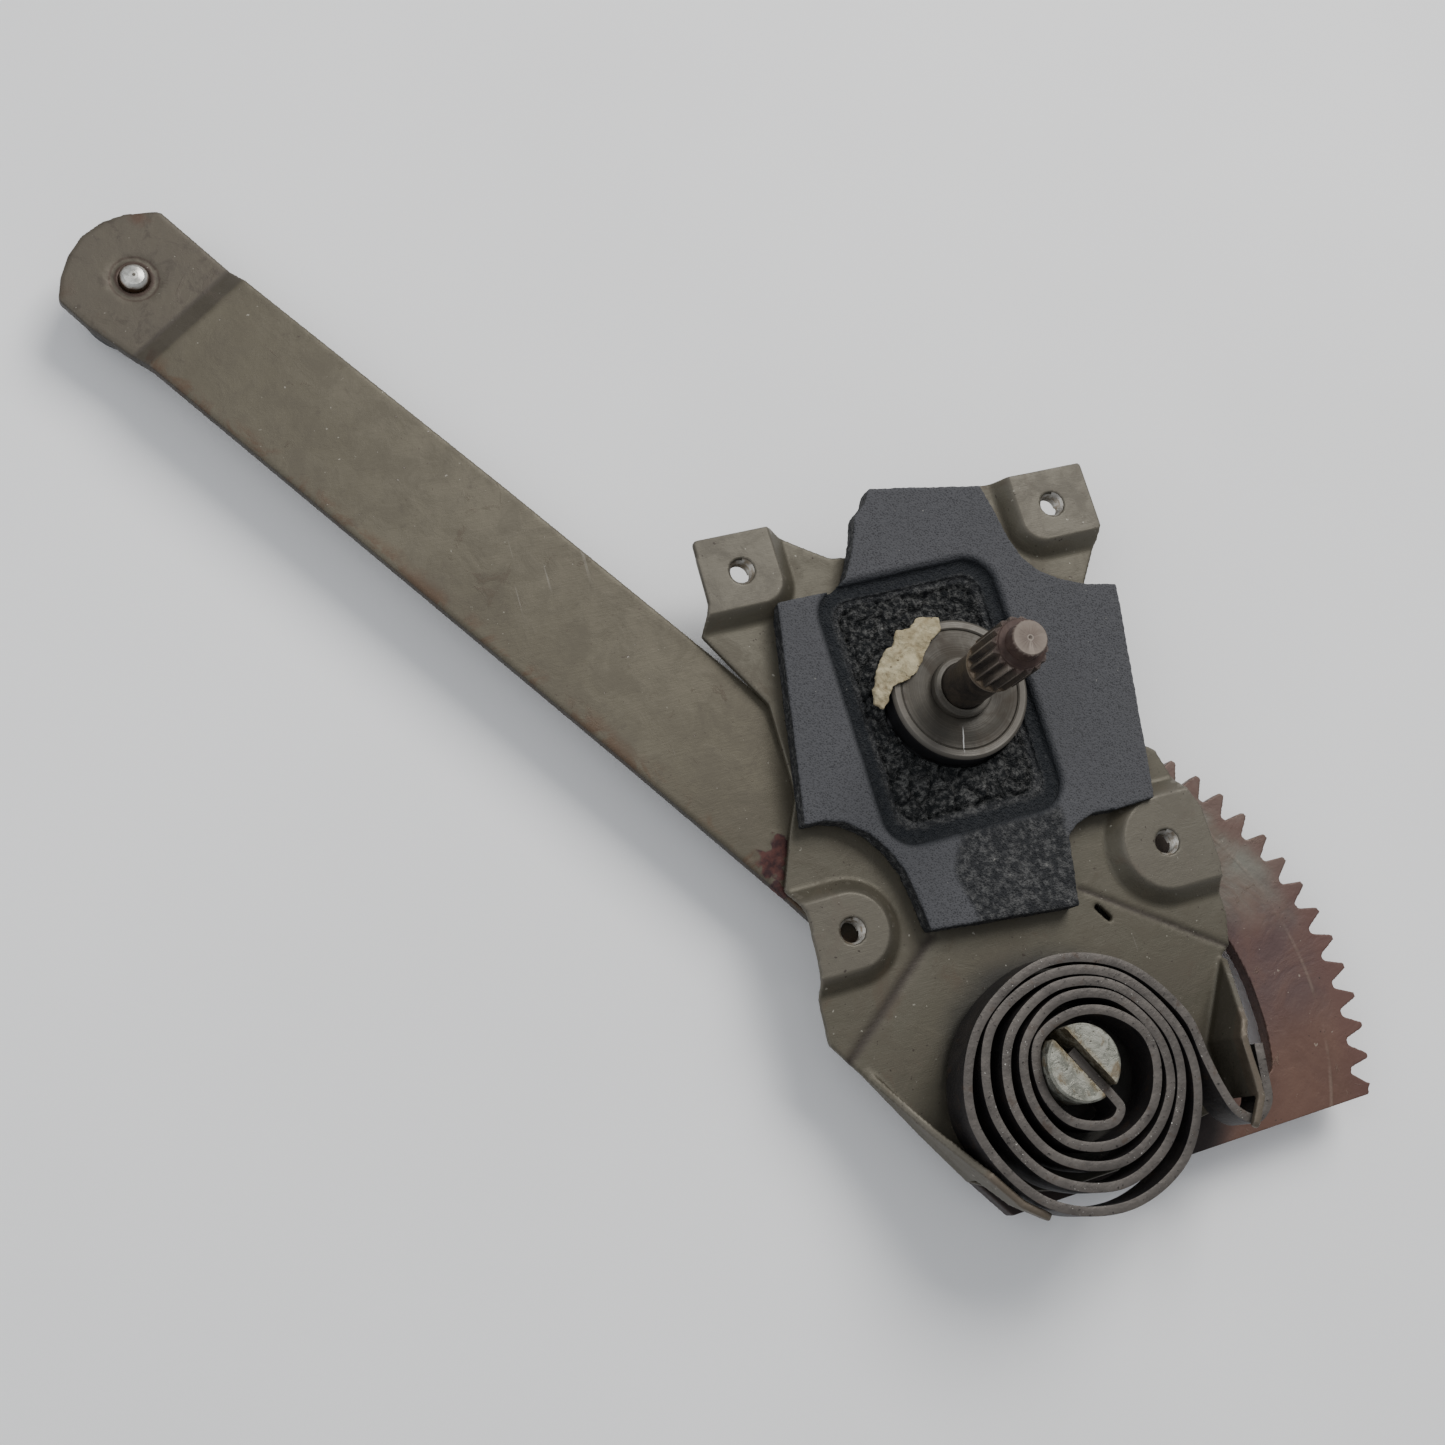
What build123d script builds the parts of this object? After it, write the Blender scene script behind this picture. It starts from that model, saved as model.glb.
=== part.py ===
from build123d import *
import math
import os

# Single-arm door window regulator: a stamped base plate carries a splined crank spindle in a
# brake drum. The spindle's pinion drives a toothed sector riveted to the lift arm, and a spiral
# spring between the plate's tab and the slotted pivot pin carries the weight of the glass.
# Millimetres. The origin is the middle of the four tapped pads, on the pads' face; +Z leaves the
# door panel side, towards the crank handle.

# ---- driving dimensions -------------------------------------------------------------------
HOLE_SPAN_X = 81.0            # tapped hole pattern, across
HOLE_SPAN_Y = 85.6            # tapped hole pattern, along
TAP_R = 2.5                   # M6 tapped hole, at the thread's crest
COLLAR_R = 4.7                # extruded collar under each tapped hole
SHEET_T = 1.8                 # base plate sheet
PAD_RISE = 3.6                # pads stand this far above the rest of the plate
CORNER_RUN = 9.4              # hole to the plate's outer edge at the top pads
MODULE = 2.25                 # gear tooth module
SECTOR_TEETH_FULL = 72        # teeth the sector would have on a full circle
PINION_TEETH = 6
FIRST_TOOTH_DEG = -18.5       # wide end tooth of the sector, measured about the pivot
TOOTH_COUNT = 25              # sector teeth, counting the two wide end ones
TIP_HALF_W = 0.65             # sector tooth, half width at the tip
ROOT_HALF_W = 2.68            # sector tooth, half width at the root
MESH_GAP = 0.06               # clearance held round the pinion teeth
SPINDLE_Y = 3.3               # spindle axis, above the middle of the hole pattern
PIVOT_X = -3.1                # pivot axis, left of the spindle
SECTOR_T = 4.0                # sector plate
SECTOR_LOW_Y = -28.0          # straight lower edge of the sector, from the pivot
WINDOW_R = 57.8               # outer edge of the sector's lightening window
WINDOW_IN_R = 36.0
ARM_T = 3.0                   # lift arm sheet
ARM_GAP = 0.6                 # air between the arm and the base plate
ARM_STUD_R = 271.5            # pivot axis to roller stud axis
ARM_STUD_DEG = 124.05         # direction of the stud from the pivot, at rest
ARM_STEP = 2.0                # the arm's end is set down by this much
PIN_R = 8.6                   # slotted pivot pin
PIN_FIT = 0.05                # radial running fit of the pivot pin
PIN_TOP = 13.0
BUSH_WALL = 1.6               # pivot bush, wall round the pin
BUSH_FLANGE = 5.4             # pivot bush flange, out from the pin
CLIP_RIM = 2.8                # pivot clip, out from the pin
SLOT_W = 3.8                  # slot in the pivot pin
SLOT_SIDE = 0.25              # the slot is cut a little off centre
SLOT_DEG = -62.3
SPRING_T = 2.1                # spiral spring strip, thickness
SPRING_LOW = -0.4             # spiral spring strip, lower edge
SPRING_HIGH = 10.0            # spiral spring strip, upper edge
GUARD_TOP = 9.0               # top of the spring guard
TAB_TOP = 12.0                # top of the spring's anchor tab
DRUM_R = 16.6                 # brake drum, outside
DRUM_WALL = 1.5
DRUM_TOP = 5.0
RIM_IN_R = 14.3               # rolled rim round the drum's cover
SHAFT_R = 5.35                # plain part of the spindle
SHAFT_FIT = 0.06              # radial running fit of the spindle
BUSH_TOP = 7.5
COLLAR_LOW = 24.0             # plain collar below the splines
SPLINE_LOW = 26.0
SPLINE_HIGH = 41.0
SPLINE_R = 6.45               # splines, outside
SPLINE_ROOT_R = 5.6
SPLINE_TEETH = 16
TIP_R = 4.05
SPINDLE_TOP = 45.5
JOURNAL_R = 4.0               # pinion's lower journal
JOURNAL_FIT = 0.05
BRACKET_T = 2.4               # rear pinion bracket sheet
FOAM_TOP = 2.0
FOAM_INNER_TOP = -0.7         # thinner foam left round the drum
ROLLER_R = 13.0
ROLLER_T = 8.0
STUD_R = 4.0                  # roller stud
ROLLER_FIT = 0.08

# ---- levels and positions worked out from the above ---------------------------------------
HX = HOLE_SPAN_X / 2
HY = HOLE_SPAN_Y / 2
PLATE_TOP = -PAD_RISE
PLATE_LOW = PLATE_TOP - SHEET_T
ARM_TOP = PLATE_LOW - ARM_GAP
ARM_LOW = ARM_TOP - ARM_T
SECTOR_LOW = ARM_LOW - SECTOR_T
PITCH = 360.0 / SECTOR_TEETH_FULL
PITCH_R = MODULE * SECTOR_TEETH_FULL / 2
TIP_CIRCLE = PITCH_R + MODULE
ROOT_CIRCLE = PITCH_R - 1.11 * MODULE
CENTRES = MODULE * (SECTOR_TEETH_FULL + PINION_TEETH) / 2
PINION_TIP_R = CENTRES - ROOT_CIRCLE - 0.25
PINION_ROOT_R = CENTRES - TIP_CIRCLE - 0.25
PIVOT_Y = SPINDLE_Y - math.sqrt(CENTRES ** 2 - PIVOT_X ** 2)
SPINDLE_DEG = math.degrees(math.atan2(SPINDLE_Y - PIVOT_Y, -PIVOT_X))
PINION_LOW = SECTOR_LOW - 0.5
PINION_HIGH = ARM_LOW + 0.5
BRACKET_TOP = SECTOR_LOW - 1.6
BRACKET_LOW = BRACKET_TOP - BRACKET_T
DRUM_RIVET_R = DRUM_R + 3.8
DRUM_FLANGE_R = DRUM_R + 7.4
PIVOT_BUSH_R = PIN_R + BUSH_WALL
PIVOT_FLANGE_R = PIN_R + BUSH_FLANGE
DRUM_RIVETS = [(DRUM_RIVET_R * math.cos(math.radians(deg)),
                SPINDLE_Y + DRUM_RIVET_R * math.sin(math.radians(deg))) for deg in (30, 150, 270)]
BRACKET_RIVETS = [(-13.0, SPINDLE_Y + 26.0), (13.0, SPINDLE_Y + 26.0)]
STUD_X = PIVOT_X + ARM_STUD_R * math.cos(math.radians(ARM_STUD_DEG))
STUD_Y = PIVOT_Y + ARM_STUD_R * math.sin(math.radians(ARM_STUD_DEG))

os.makedirs("parts", exist_ok=True)


def save(builder, label):
    builder.part.label = label
    export_step(builder.part, "parts/" + label + ".step")


def at_pivot(x, y):
    return (PIVOT_X + x, PIVOT_Y + y)


def polar(r, deg):
    return (r * math.cos(math.radians(deg)), r * math.sin(math.radians(deg)))


def disc(low, high, r, x=0.0, y=0.0, mode=Mode.ADD):
    with BuildSketch(Plane.XY.offset(low)) as face:
        with Locations((x, y)):
            Circle(r)
    extrude(face.sketch, amount=high - low, mode=mode)


def ring(low, high, r_out, r_in, x=0.0, y=0.0):
    with BuildSketch(Plane.XY.offset(low)) as face:
        with Locations((x, y)):
            Circle(r_out)
            Circle(r_in, mode=Mode.SUBTRACT)
    extrude(face.sketch, amount=high - low)


def revolved(profile, x=0.0, y=0.0, mode=Mode.ADD):
    with BuildSketch(Plane(origin=(x, y, 0), x_dir=(1, 0, 0), z_dir=(0, -1, 0))) as half:
        with BuildLine():
            Polyline(*profile, close=True)
        make_face()
    revolve(half.sketch, axis=Axis((x, y, 0), (0, 0, 1)), mode=mode)


# ---- base plate ---------------------------------------------------------------------------
# Outline of the stamped plate, clockwise from the top left corner. Corners follow the hole
# pattern; the lower part follows the pivot.
FOLD = [at_pivot(49.0, 12.8), at_pivot(38.6, -4.8), at_pivot(38.0, -18.2), at_pivot(34.2, -24.0)]
GUARD = [at_pivot(-43.8, 11.0), at_pivot(-34.9, -5.2), at_pivot(-27.6, -17.6), at_pivot(-22.5, -25.1),
         at_pivot(-17.1, -29.6)]
PLATE_OUTLINE = [
    (-HX - 9.5, HY + CORNER_RUN), (-HX + 9.7, HY + CORNER_RUN - 0.2), (-HX + 11.3, HY + 7.7),
    (-HX + 16.6, HY + 3.9), (-HX + 22.9, HY - 0.4), (-HX + 29.0, HY - 1.5), (-3.0, HY - 2.3),
    (6.0, HY - 0.8), (HX - 26.5, HY + 3.2), (HX - 20.5, HY + 6.7), (HX - 16.0, HY + CORNER_RUN - 0.2),
    (HX + 10.9, HY + CORNER_RUN - 0.6), (HX + 10.9, HY - 7.0), (HX + 9.6, HY - 10.8),
    (HX + 3.4, HY - 20.1), (HX + 1.5, 10.0), (HX + 0.5, -10.0), (HX + 2.0, -17.0),
    (HX + 6.9, -HY + 22.0), (HX + 9.4, -HY + 12.1), (HX + 11.5, -HY + 6.0), (HX + 11.9, -HY),
    (HX + 11.8, -HY - 7.4), (HX + 10.9, -HY - 12.0), (HX + 10.9, -HY - 19.1), (HX + 8.7, -HY - 27.0),
    FOLD[0], FOLD[1], FOLD[2], at_pivot(36.0, -19.6), at_pivot(30.0, -20.5), at_pivot(22.0, -22.5),
    at_pivot(8.0, -25.5), at_pivot(-8.0, -25.5), at_pivot(-20.0, -22.0), GUARD[2], GUARD[1], GUARD[0],
    (-HX - 11.7, -HY - 22.3), (-HX - 10.9, -HY - 12.4), (-HX - 9.7, -HY - 5.2), (-HX - 8.9, -HY + 6.2),
    (-HX - 11.2, -HY + 13.0), (-HX - 6.0, -HY + 25.6), (-HX - 2.3, -HY + 33.0), (-HX - 2.0, HY - 31.0),
    (-HX - 12.6, HY - 12.1), (-HX - 10.0, HY - 6.0),
]


def pad_feet():
    # foot outlines of the four raised pads: rectangles with a round inner corner at the top,
    # half rounds running out to the plate's edge at the bottom
    with Locations((-HX - 10.0, HY + 4.0)):
        Rectangle(45.2, 32.0)
    with Locations((HX + 10.0, HY + 4.0)):
        Rectangle(45.2, 32.0)
    with Locations((-HX, -HY)):
        Circle(12.2)
    with Locations((-HX - 15.0, -HY)):
        Rectangle(30.0, 24.4)
    with Locations((HX, -HY)):
        Circle(14.6)
    with Locations((HX + 15.0, -HY)):
        Rectangle(30.0, 29.2)


def raised_pads(foot_level, mode=Mode.ADD):
    with BuildSketch(Plane.XY.offset(foot_level)) as feet:
        pad_feet()
        inner = feet.vertices().filter_by(lambda v: abs(v.X) < HX and v.Y > 0 and v.Y < HY)
        fillet(inner, radius=9.0)
    extrude(feet.sketch, amount=PAD_RISE, taper=45, mode=mode)


def upright(start, end, profile, thick):
    # a strip of sheet standing on edge between two plan points; profile is (run 0..1, level)
    dx = end[0] - start[0]
    dy = end[1] - start[1]
    run = math.hypot(dx, dy)
    wall = Plane(origin=(start[0], start[1], 0), x_dir=(dx, dy, 0), z_dir=(dy, -dx, 0))
    with BuildSketch(wall) as side:
        with BuildLine():
            Polyline(*[(u * run, z) for u, z in profile], close=True)
        make_face()
    extrude(side.sketch, amount=thick)


def build_base_plate():
    with BuildPart() as base_plate:
        with BuildSketch(Plane.XY.offset(PLATE_LOW)):
            with BuildLine():
                Polyline(*PLATE_OUTLINE, close=True)
            make_face()
        extrude(amount=SHEET_T)
        raised_pads(PLATE_TOP)
        raised_pads(PLATE_LOW, mode=Mode.SUBTRACT)
        with BuildSketch(Plane.XY.offset(PLATE_LOW - 1.0)) as trim:
            with BuildLine():
                Polyline(*PLATE_OUTLINE, close=True)
            make_face()
            soft = trim.vertices().filter_by(lambda v: v.Y > -HY + 30 or v.X < -HX - 5)
            fillet(soft, radius=1.2)
        extrude(amount=PAD_RISE + SHEET_T + 2.0, mode=Mode.INTERSECT)
        with BuildSketch(Plane.XY.offset(PLATE_LOW)):
            with GridLocations(HOLE_SPAN_X, HOLE_SPAN_Y, 2, 2):
                Circle(COLLAR_R)
        extrude(amount=PAD_RISE + SHEET_T)
        # spring guard along the lower left edge, with a tongue running round the outer coil
        low = PLATE_LOW
        tall = GUARD_TOP
        slope = PLATE_TOP + 0.2
        upright(GUARD[0], GUARD[1], [(0, low), (1, low), (1, 2.4), (0.05, slope), (0, slope)], -SHEET_T)
        upright(GUARD[1], GUARD[2], [(-0.02, low), (1, low), (1, tall), (-0.02, 2.3)], -SHEET_T)
        upright(GUARD[2], GUARD[3], [(-0.08, 0.4), (0.9, 3.2), (1, 5.0), (1, tall), (-0.08, tall)], -SHEET_T)
        tongue = [(-0.08, 5.0), (0.9, 6.4), (1, 7.0), (1, tall - 0.5), (0.6, tall), (-0.08, tall)]
        upright(GUARD[3], GUARD[4], tongue, -SHEET_T)
        # anchor tab for the spring's outer hook, with an ear that keeps the strip down
        top = TAB_TOP
        gusset = [(0, low), (1.02, low), (1.02, top), (0.8, top - 0.9), (0, slope)]
        upright(FOLD[0], FOLD[1], gusset, -SHEET_T)
        upright(FOLD[1], FOLD[2], [(0, low), (0.85, low), (1, low + 2), (1, top), (0, top)], -SHEET_T)
        upright(FOLD[2], FOLD[3], [(-0.12, SPRING_HIGH + 0.35), (1, SPRING_HIGH + 0.35), (1, top - 0.6),
                                   (0.85, top), (-0.12, top)], -SHEET_T)
        # tapped holes, spindle hole, pivot hole and the small pierced slot
        with BuildSketch(Plane.XY.offset(PLATE_LOW - 1)):
            with GridLocations(HOLE_SPAN_X, HOLE_SPAN_Y, 2, 2):
                Circle(TAP_R)
            with Locations((0, SPINDLE_Y)):
                Circle(7.5)
            with Locations((PIVOT_X, PIVOT_Y)):
                Circle(PIVOT_BUSH_R)
            with Locations((20.9, -HY - 11.4)):
                SlotOverall(5.2, 1.5, rotation=-57)
            for x, y in DRUM_RIVETS:
                with Locations((x, y)):
                    Circle(2.0)
            for x, y in BRACKET_RIVETS:
                with Locations((x, y)):
                    Circle(2.5)
        extrude(amount=30, mode=Mode.SUBTRACT)
    save(base_plate, "base_plate")


def build_pivot_bush():
    with BuildPart() as pivot_bush:
        bore = PIN_R + PIN_FIT
        revolved([(bore, PLATE_LOW), (PIVOT_BUSH_R, PLATE_LOW), (PIVOT_BUSH_R, PLATE_TOP),
                  (PIVOT_FLANGE_R, PLATE_TOP), (PIVOT_FLANGE_R, PLATE_TOP + 1.2),
                  (PIVOT_FLANGE_R - 0.6, PLATE_TOP + 1.6), (bore, PLATE_TOP + 1.6)],
                 PIVOT_X, PIVOT_Y)
    save(pivot_bush, "pivot_bush")


# ---- foam seal ----------------------------------------------------------------------------
FOAM_OUTLINE = [
    (-5.2, HY + 12.6), (22.7, HY + 7.7), (24.3, HY + 0.9), (25.4, HY - 6.0), (27.2, HY - 11.6),
    (30.6, HY - 15.9), (34.9, HY - 18.8), (41.0, HY - 21.4), (49.0, HY - 23.1),
    (40.1, -HY + 10.7), (30.0, -HY + 10.4), (24.0, -HY + 11.0), (19.0, -HY + 9.6), (16.1, -HY + 7.5),
    (13.0, -HY - 8.5), (-23.4, -HY - 4.7), (-24.0, -HY + 2.4), (-25.0, -HY + 9.5), (-27.2, -HY + 14.9),
    (-30.6, -HY + 19.8), (-35.5, -HY + 23.6), (-40.0, -HY + 25.0), (-44.7, -HY + 25.2),
    (-35.2, HY - 9.5), (-21.0, HY - 9.6), (-17.6, HY - 7.4), (-15.1, HY - 3.5), (-12.6, HY + 1.6),
    (-10.5, HY + 6.9), (-7.0, HY + 9.4),
]


def build_foam_seal():
    with BuildPart() as foam_seal:
        with BuildSketch(Plane.XY.offset(PLATE_TOP)):
            with BuildLine():
                Polyline(*FOAM_OUTLINE, close=True)
            make_face()
        extrude(amount=FOAM_TOP - PLATE_TOP)
        with BuildSketch(Plane.XY.offset(FOAM_TOP - 1.4)):
            with Locations((-3.9, 2.9)):
                RectangleRounded(45.0, 62.0, 7.0)
                RectangleRounded(38.0, 55.0, 5.0, mode=Mode.SUBTRACT)
        extrude(amount=3, mode=Mode.SUBTRACT)
        with BuildSketch(Plane.XY.offset(FOAM_INNER_TOP)):
            with Locations((-3.9, 2.9)):
                RectangleRounded(38.2, 55.2, 5.0)
        extrude(amount=5, mode=Mode.SUBTRACT)
        disc(PLATE_TOP - 1, FOAM_TOP + 1, DRUM_R + 0.6, 0, SPINDLE_Y, Mode.SUBTRACT)
        disc(PLATE_TOP - 1, PLATE_TOP + 2.0, DRUM_FLANGE_R + 0.4, 0, SPINDLE_Y, Mode.SUBTRACT)
        for x, y in BRACKET_RIVETS:
            disc(PLATE_TOP - 1, PLATE_TOP + 1.4, 4.5, x, y, Mode.SUBTRACT)
        raised_pads(PLATE_TOP, mode=Mode.SUBTRACT)
    save(foam_seal, "foam_seal")


# ---- brake drum, cover, bush and rivets ---------------------------------------------------
def build_brake_drum():
    inner = DRUM_R - DRUM_WALL
    with BuildPart() as brake_drum:
        revolved([(8.0, PLATE_TOP), (DRUM_FLANGE_R, PLATE_TOP), (DRUM_FLANGE_R, PLATE_TOP + 1.0),
                  (DRUM_R + 1.0, PLATE_TOP + 1.0), (DRUM_R, PLATE_TOP + 2.0),
                  (DRUM_R, DRUM_TOP - 0.7), (DRUM_R - 0.7, DRUM_TOP),
                  (RIM_IN_R + 0.3, DRUM_TOP), (RIM_IN_R, DRUM_TOP - 0.3), (RIM_IN_R, DRUM_TOP - 1.4),
                  (inner, DRUM_TOP - 1.4), (inner, PLATE_TOP + 1.0), (8.0, PLATE_TOP + 1.0)], 0, SPINDLE_Y)
        with BuildSketch(Plane.XY.offset(PLATE_TOP - 1)):
            for x, y in DRUM_RIVETS:
                with Locations((x, y)):
                    Circle(2.0)
        extrude(amount=3, mode=Mode.SUBTRACT)
    save(brake_drum, "brake_drum")


def build_drum_cover():
    low = DRUM_TOP - 1.4
    high = DRUM_TOP - 0.25
    with BuildPart() as drum_cover:
        revolved([(7.15, low), (RIM_IN_R - 0.1, low), (RIM_IN_R - 0.1, high - 0.3), (RIM_IN_R - 0.4, high),
                  (12.2, high), (11.6, high + 0.2), (7.15, high + 0.2)], 0, SPINDLE_Y)
    save(drum_cover, "drum_cover")


def build_spindle_bush():
    bore = SHAFT_R + SHAFT_FIT
    with BuildPart() as spindle_bush:
        revolved([(bore, 2.6), (7.1, 2.6), (7.1, BUSH_TOP - 0.5), (6.75, BUSH_TOP),
                  (bore + 0.3, BUSH_TOP), (bore, BUSH_TOP - 0.3)], 0, SPINDLE_Y)
    save(spindle_bush, "spindle_bush")


def build_drum_rivets():
    # three rivets holding the drum's flange; flat heads above, shallow heads below
    with BuildPart() as drum_rivets:
        for x, y in DRUM_RIVETS:
            revolved([(0, PLATE_LOW - 0.5), (2.6, PLATE_LOW - 0.5), (3.0, PLATE_LOW), (2.0, PLATE_LOW),
                      (2.0, PLATE_TOP + 1.0), (2.7, PLATE_TOP + 1.0), (2.4, PLATE_TOP + 1.7),
                      (0, PLATE_TOP + 1.7)], x, y)
    save(drum_rivets, "drum_rivets")


# ---- rear pinion bracket ------------------------------------------------------------------
LEG_Y = SPINDLE_Y + 19.0


def build_pinion_bracket():
    with BuildPart() as pinion_bracket:
        with BuildSketch(Plane.XY.offset(BRACKET_LOW)):
            with BuildLine():
                Polyline((-9.0, SPINDLE_Y - 7.0), (9.0, SPINDLE_Y - 7.0),
                         (17.0, LEG_Y), (-17.0, LEG_Y), close=True)
            make_face()
            fillet(vertices().filter_by(lambda v: v.Y < SPINDLE_Y), radius=5.0)
        extrude(amount=BRACKET_T)
        with BuildSketch(Plane.XY.offset(BRACKET_LOW)):
            with Locations((0, LEG_Y - BRACKET_T / 2)):
                Rectangle(34.0, BRACKET_T)
        extrude(amount=PLATE_LOW - BRACKET_LOW)
        with BuildSketch(Plane.XY.offset(PLATE_LOW - BRACKET_T)):
            with Locations((0, LEG_Y + 5.0)):
                Rectangle(36.0, 14.8)
        extrude(amount=BRACKET_T)
        with BuildSketch(Plane.XY.offset(BRACKET_LOW - 1)):
            with Locations((0, SPINDLE_Y)):
                Circle(6.0)
            for x, y in BRACKET_RIVETS:
                with Locations((x, y)):
                    Circle(2.5)
        extrude(amount=30, mode=Mode.SUBTRACT)
        front = pinion_bracket.edges().filter_by(Axis.X).group_by(Axis.Z)[0].sort_by(Axis.Y)[-1]
        fillet(front, radius=2.0)
        disc(BRACKET_TOP, PLATE_LOW - BRACKET_T, 9.5, 0, LEG_Y - 2, Mode.SUBTRACT)
    save(pinion_bracket, "pinion_bracket")


def build_bracket_bush():
    bore = JOURNAL_R + JOURNAL_FIT
    with BuildPart() as bracket_bush:
        revolved([(bore, BRACKET_LOW - 0.3), (6.0, BRACKET_LOW - 0.3), (6.0, BRACKET_TOP), (7.4, BRACKET_TOP),
                  (7.4, BRACKET_TOP + 0.8), (bore, BRACKET_TOP + 0.8)], 0, SPINDLE_Y)
    save(bracket_bush, "bracket_bush")


def build_bracket_rivets():
    low = PLATE_LOW - BRACKET_T
    with BuildPart() as bracket_rivets:
        for x, y in BRACKET_RIVETS:
            revolved([(0, low - 1.4), (3.0, low - 1.4), (4.2, low), (2.5, low), (2.5, PLATE_TOP),
                      (4.2, PLATE_TOP), (3.0, PLATE_TOP + 1.2), (0, PLATE_TOP + 1.2)], x, y)
    save(bracket_rivets, "bracket_rivets")


# ---- crank spindle, driver, clutch spring and pinion --------------------------------------
def build_crank_spindle():
    with BuildPart() as crank_spindle:
        revolved([(0, -6.6), (3.2, -6.6), (3.2, -0.7), (SHAFT_R, -0.7), (SHAFT_R, COLLAR_LOW - 0.3),
                  (5.7, COLLAR_LOW - 0.3), (6.1, COLLAR_LOW + 0.1), (6.1, SPLINE_LOW - 0.7),
                  (SPLINE_ROOT_R, SPLINE_LOW - 0.2), (SPLINE_ROOT_R, SPLINE_HIGH - 0.3),
                  (5.3, SPLINE_HIGH + 0.1), (TIP_R, SPLINE_HIGH + 0.5), (TIP_R, SPINDLE_TOP - 0.4),
                  (TIP_R - 0.4, SPINDLE_TOP),
                  (0.5, SPINDLE_TOP), (0, SPINDLE_TOP - 0.6)], 0, SPINDLE_Y)
        half = math.pi * SPLINE_R / SPLINE_TEETH
        with BuildSketch(mode=Mode.PRIVATE) as tooth:
            with BuildLine():
                Polyline((SPLINE_ROOT_R - 0.3, -half * 0.95), (SPLINE_R - 0.02, -half * 0.22), (SPLINE_R, 0),
                         (SPLINE_R - 0.02, half * 0.22), (SPLINE_ROOT_R - 0.3, half * 0.95), close=True)
            make_face()
        with BuildSketch(Plane.XY.offset(SPLINE_LOW - 0.2)):
            with Locations((0, SPINDLE_Y)):
                with PolarLocations(0, SPLINE_TEETH):
                    add(tooth.sketch)
        extrude(amount=SPLINE_HIGH - SPLINE_LOW)
        # lead-in chamfer on the ends of the splines
        outside = SPLINE_R + 0.2
        revolved([(SPLINE_R - 0.9, SPLINE_HIGH), (outside, SPLINE_HIGH - 1.3), (outside, SPLINE_HIGH)],
                 0, SPINDLE_Y, Mode.SUBTRACT)
    save(crank_spindle, "crank_spindle")


def build_driver_cam():
    # driving disc on the spindle, with a lug that takes up the clutch spring's ends
    with BuildPart() as driver_cam:
        ring(0.1, 1.5, 12.6, SHAFT_R, 0, SPINDLE_Y)
        with BuildSketch(mode=Mode.PRIVATE) as lug:
            with BuildLine():
                CenterArc((0, 0), 12.6, -70, 140)
                Line(polar(12.6, 70), polar(8.0, 70))
                CenterArc((0, 0), 8.0, 70, -140)
                Line(polar(8.0, -70), polar(12.6, -70))
            make_face()
        with BuildSketch(Plane.XY.offset(-0.6)):
            with Locations((0, SPINDLE_Y)):
                add(lug.sketch)
        extrude(amount=0.7)
    save(driver_cam, "driver_cam")


def build_clutch_spring():
    # wrap spring that grips the drum when the sector tries to drive the spindle
    wire = 0.65
    coil_r = DRUM_R - DRUM_WALL - wire - 0.12
    with BuildPart() as clutch_spring:
        with BuildLine():
            Helix(pitch=1.45, height=3.6, radius=coil_r, center=(0, SPINDLE_Y, -1.2))
        with BuildSketch(Plane(origin=(coil_r, SPINDLE_Y, -1.2), z_dir=(0, 1, 0.016))):
            Circle(wire)
        sweep()
    save(clutch_spring, "clutch_spring")


def sector_tooth_half(radius):
    # half the angle a sector tooth covers at this radius, in radians: below nought past the
    # tips, and all of the pitch below the roots
    if radius >= TIP_CIRCLE:
        return -1.0
    if radius <= ROOT_CIRCLE:
        return 1.0
    part = (radius - ROOT_CIRCLE) / (TIP_CIRCLE - ROOT_CIRCLE)
    return math.asin((ROOT_HALF_W + (TIP_HALF_W - ROOT_HALF_W) * part) / radius)


def pinion_half(radius):
    # widest half angle a pinion tooth can have at this radius and still clear every sector
    # tooth while the two roll together
    best = math.pi / PINION_TEETH
    pitch = math.radians(PITCH)
    for step in range(-40, 41):
        roll = step / 40.0 * pitch
        phi = 0.0
        while phi < best:
            for side in (phi, -phi):
                swing = side + roll * SECTOR_TEETH_FULL / PINION_TEETH
                x = CENTRES - radius * math.cos(swing)
                y = radius * math.sin(swing)
                reach = math.hypot(x, y)
                from_gap = (math.atan2(y, x) - roll) / pitch
                from_tooth = abs(from_gap - math.floor(from_gap) - 0.5) * pitch
                if from_tooth < sector_tooth_half(reach) + MESH_GAP / reach:
                    best = phi
            phi += 0.004
    return best


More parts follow.
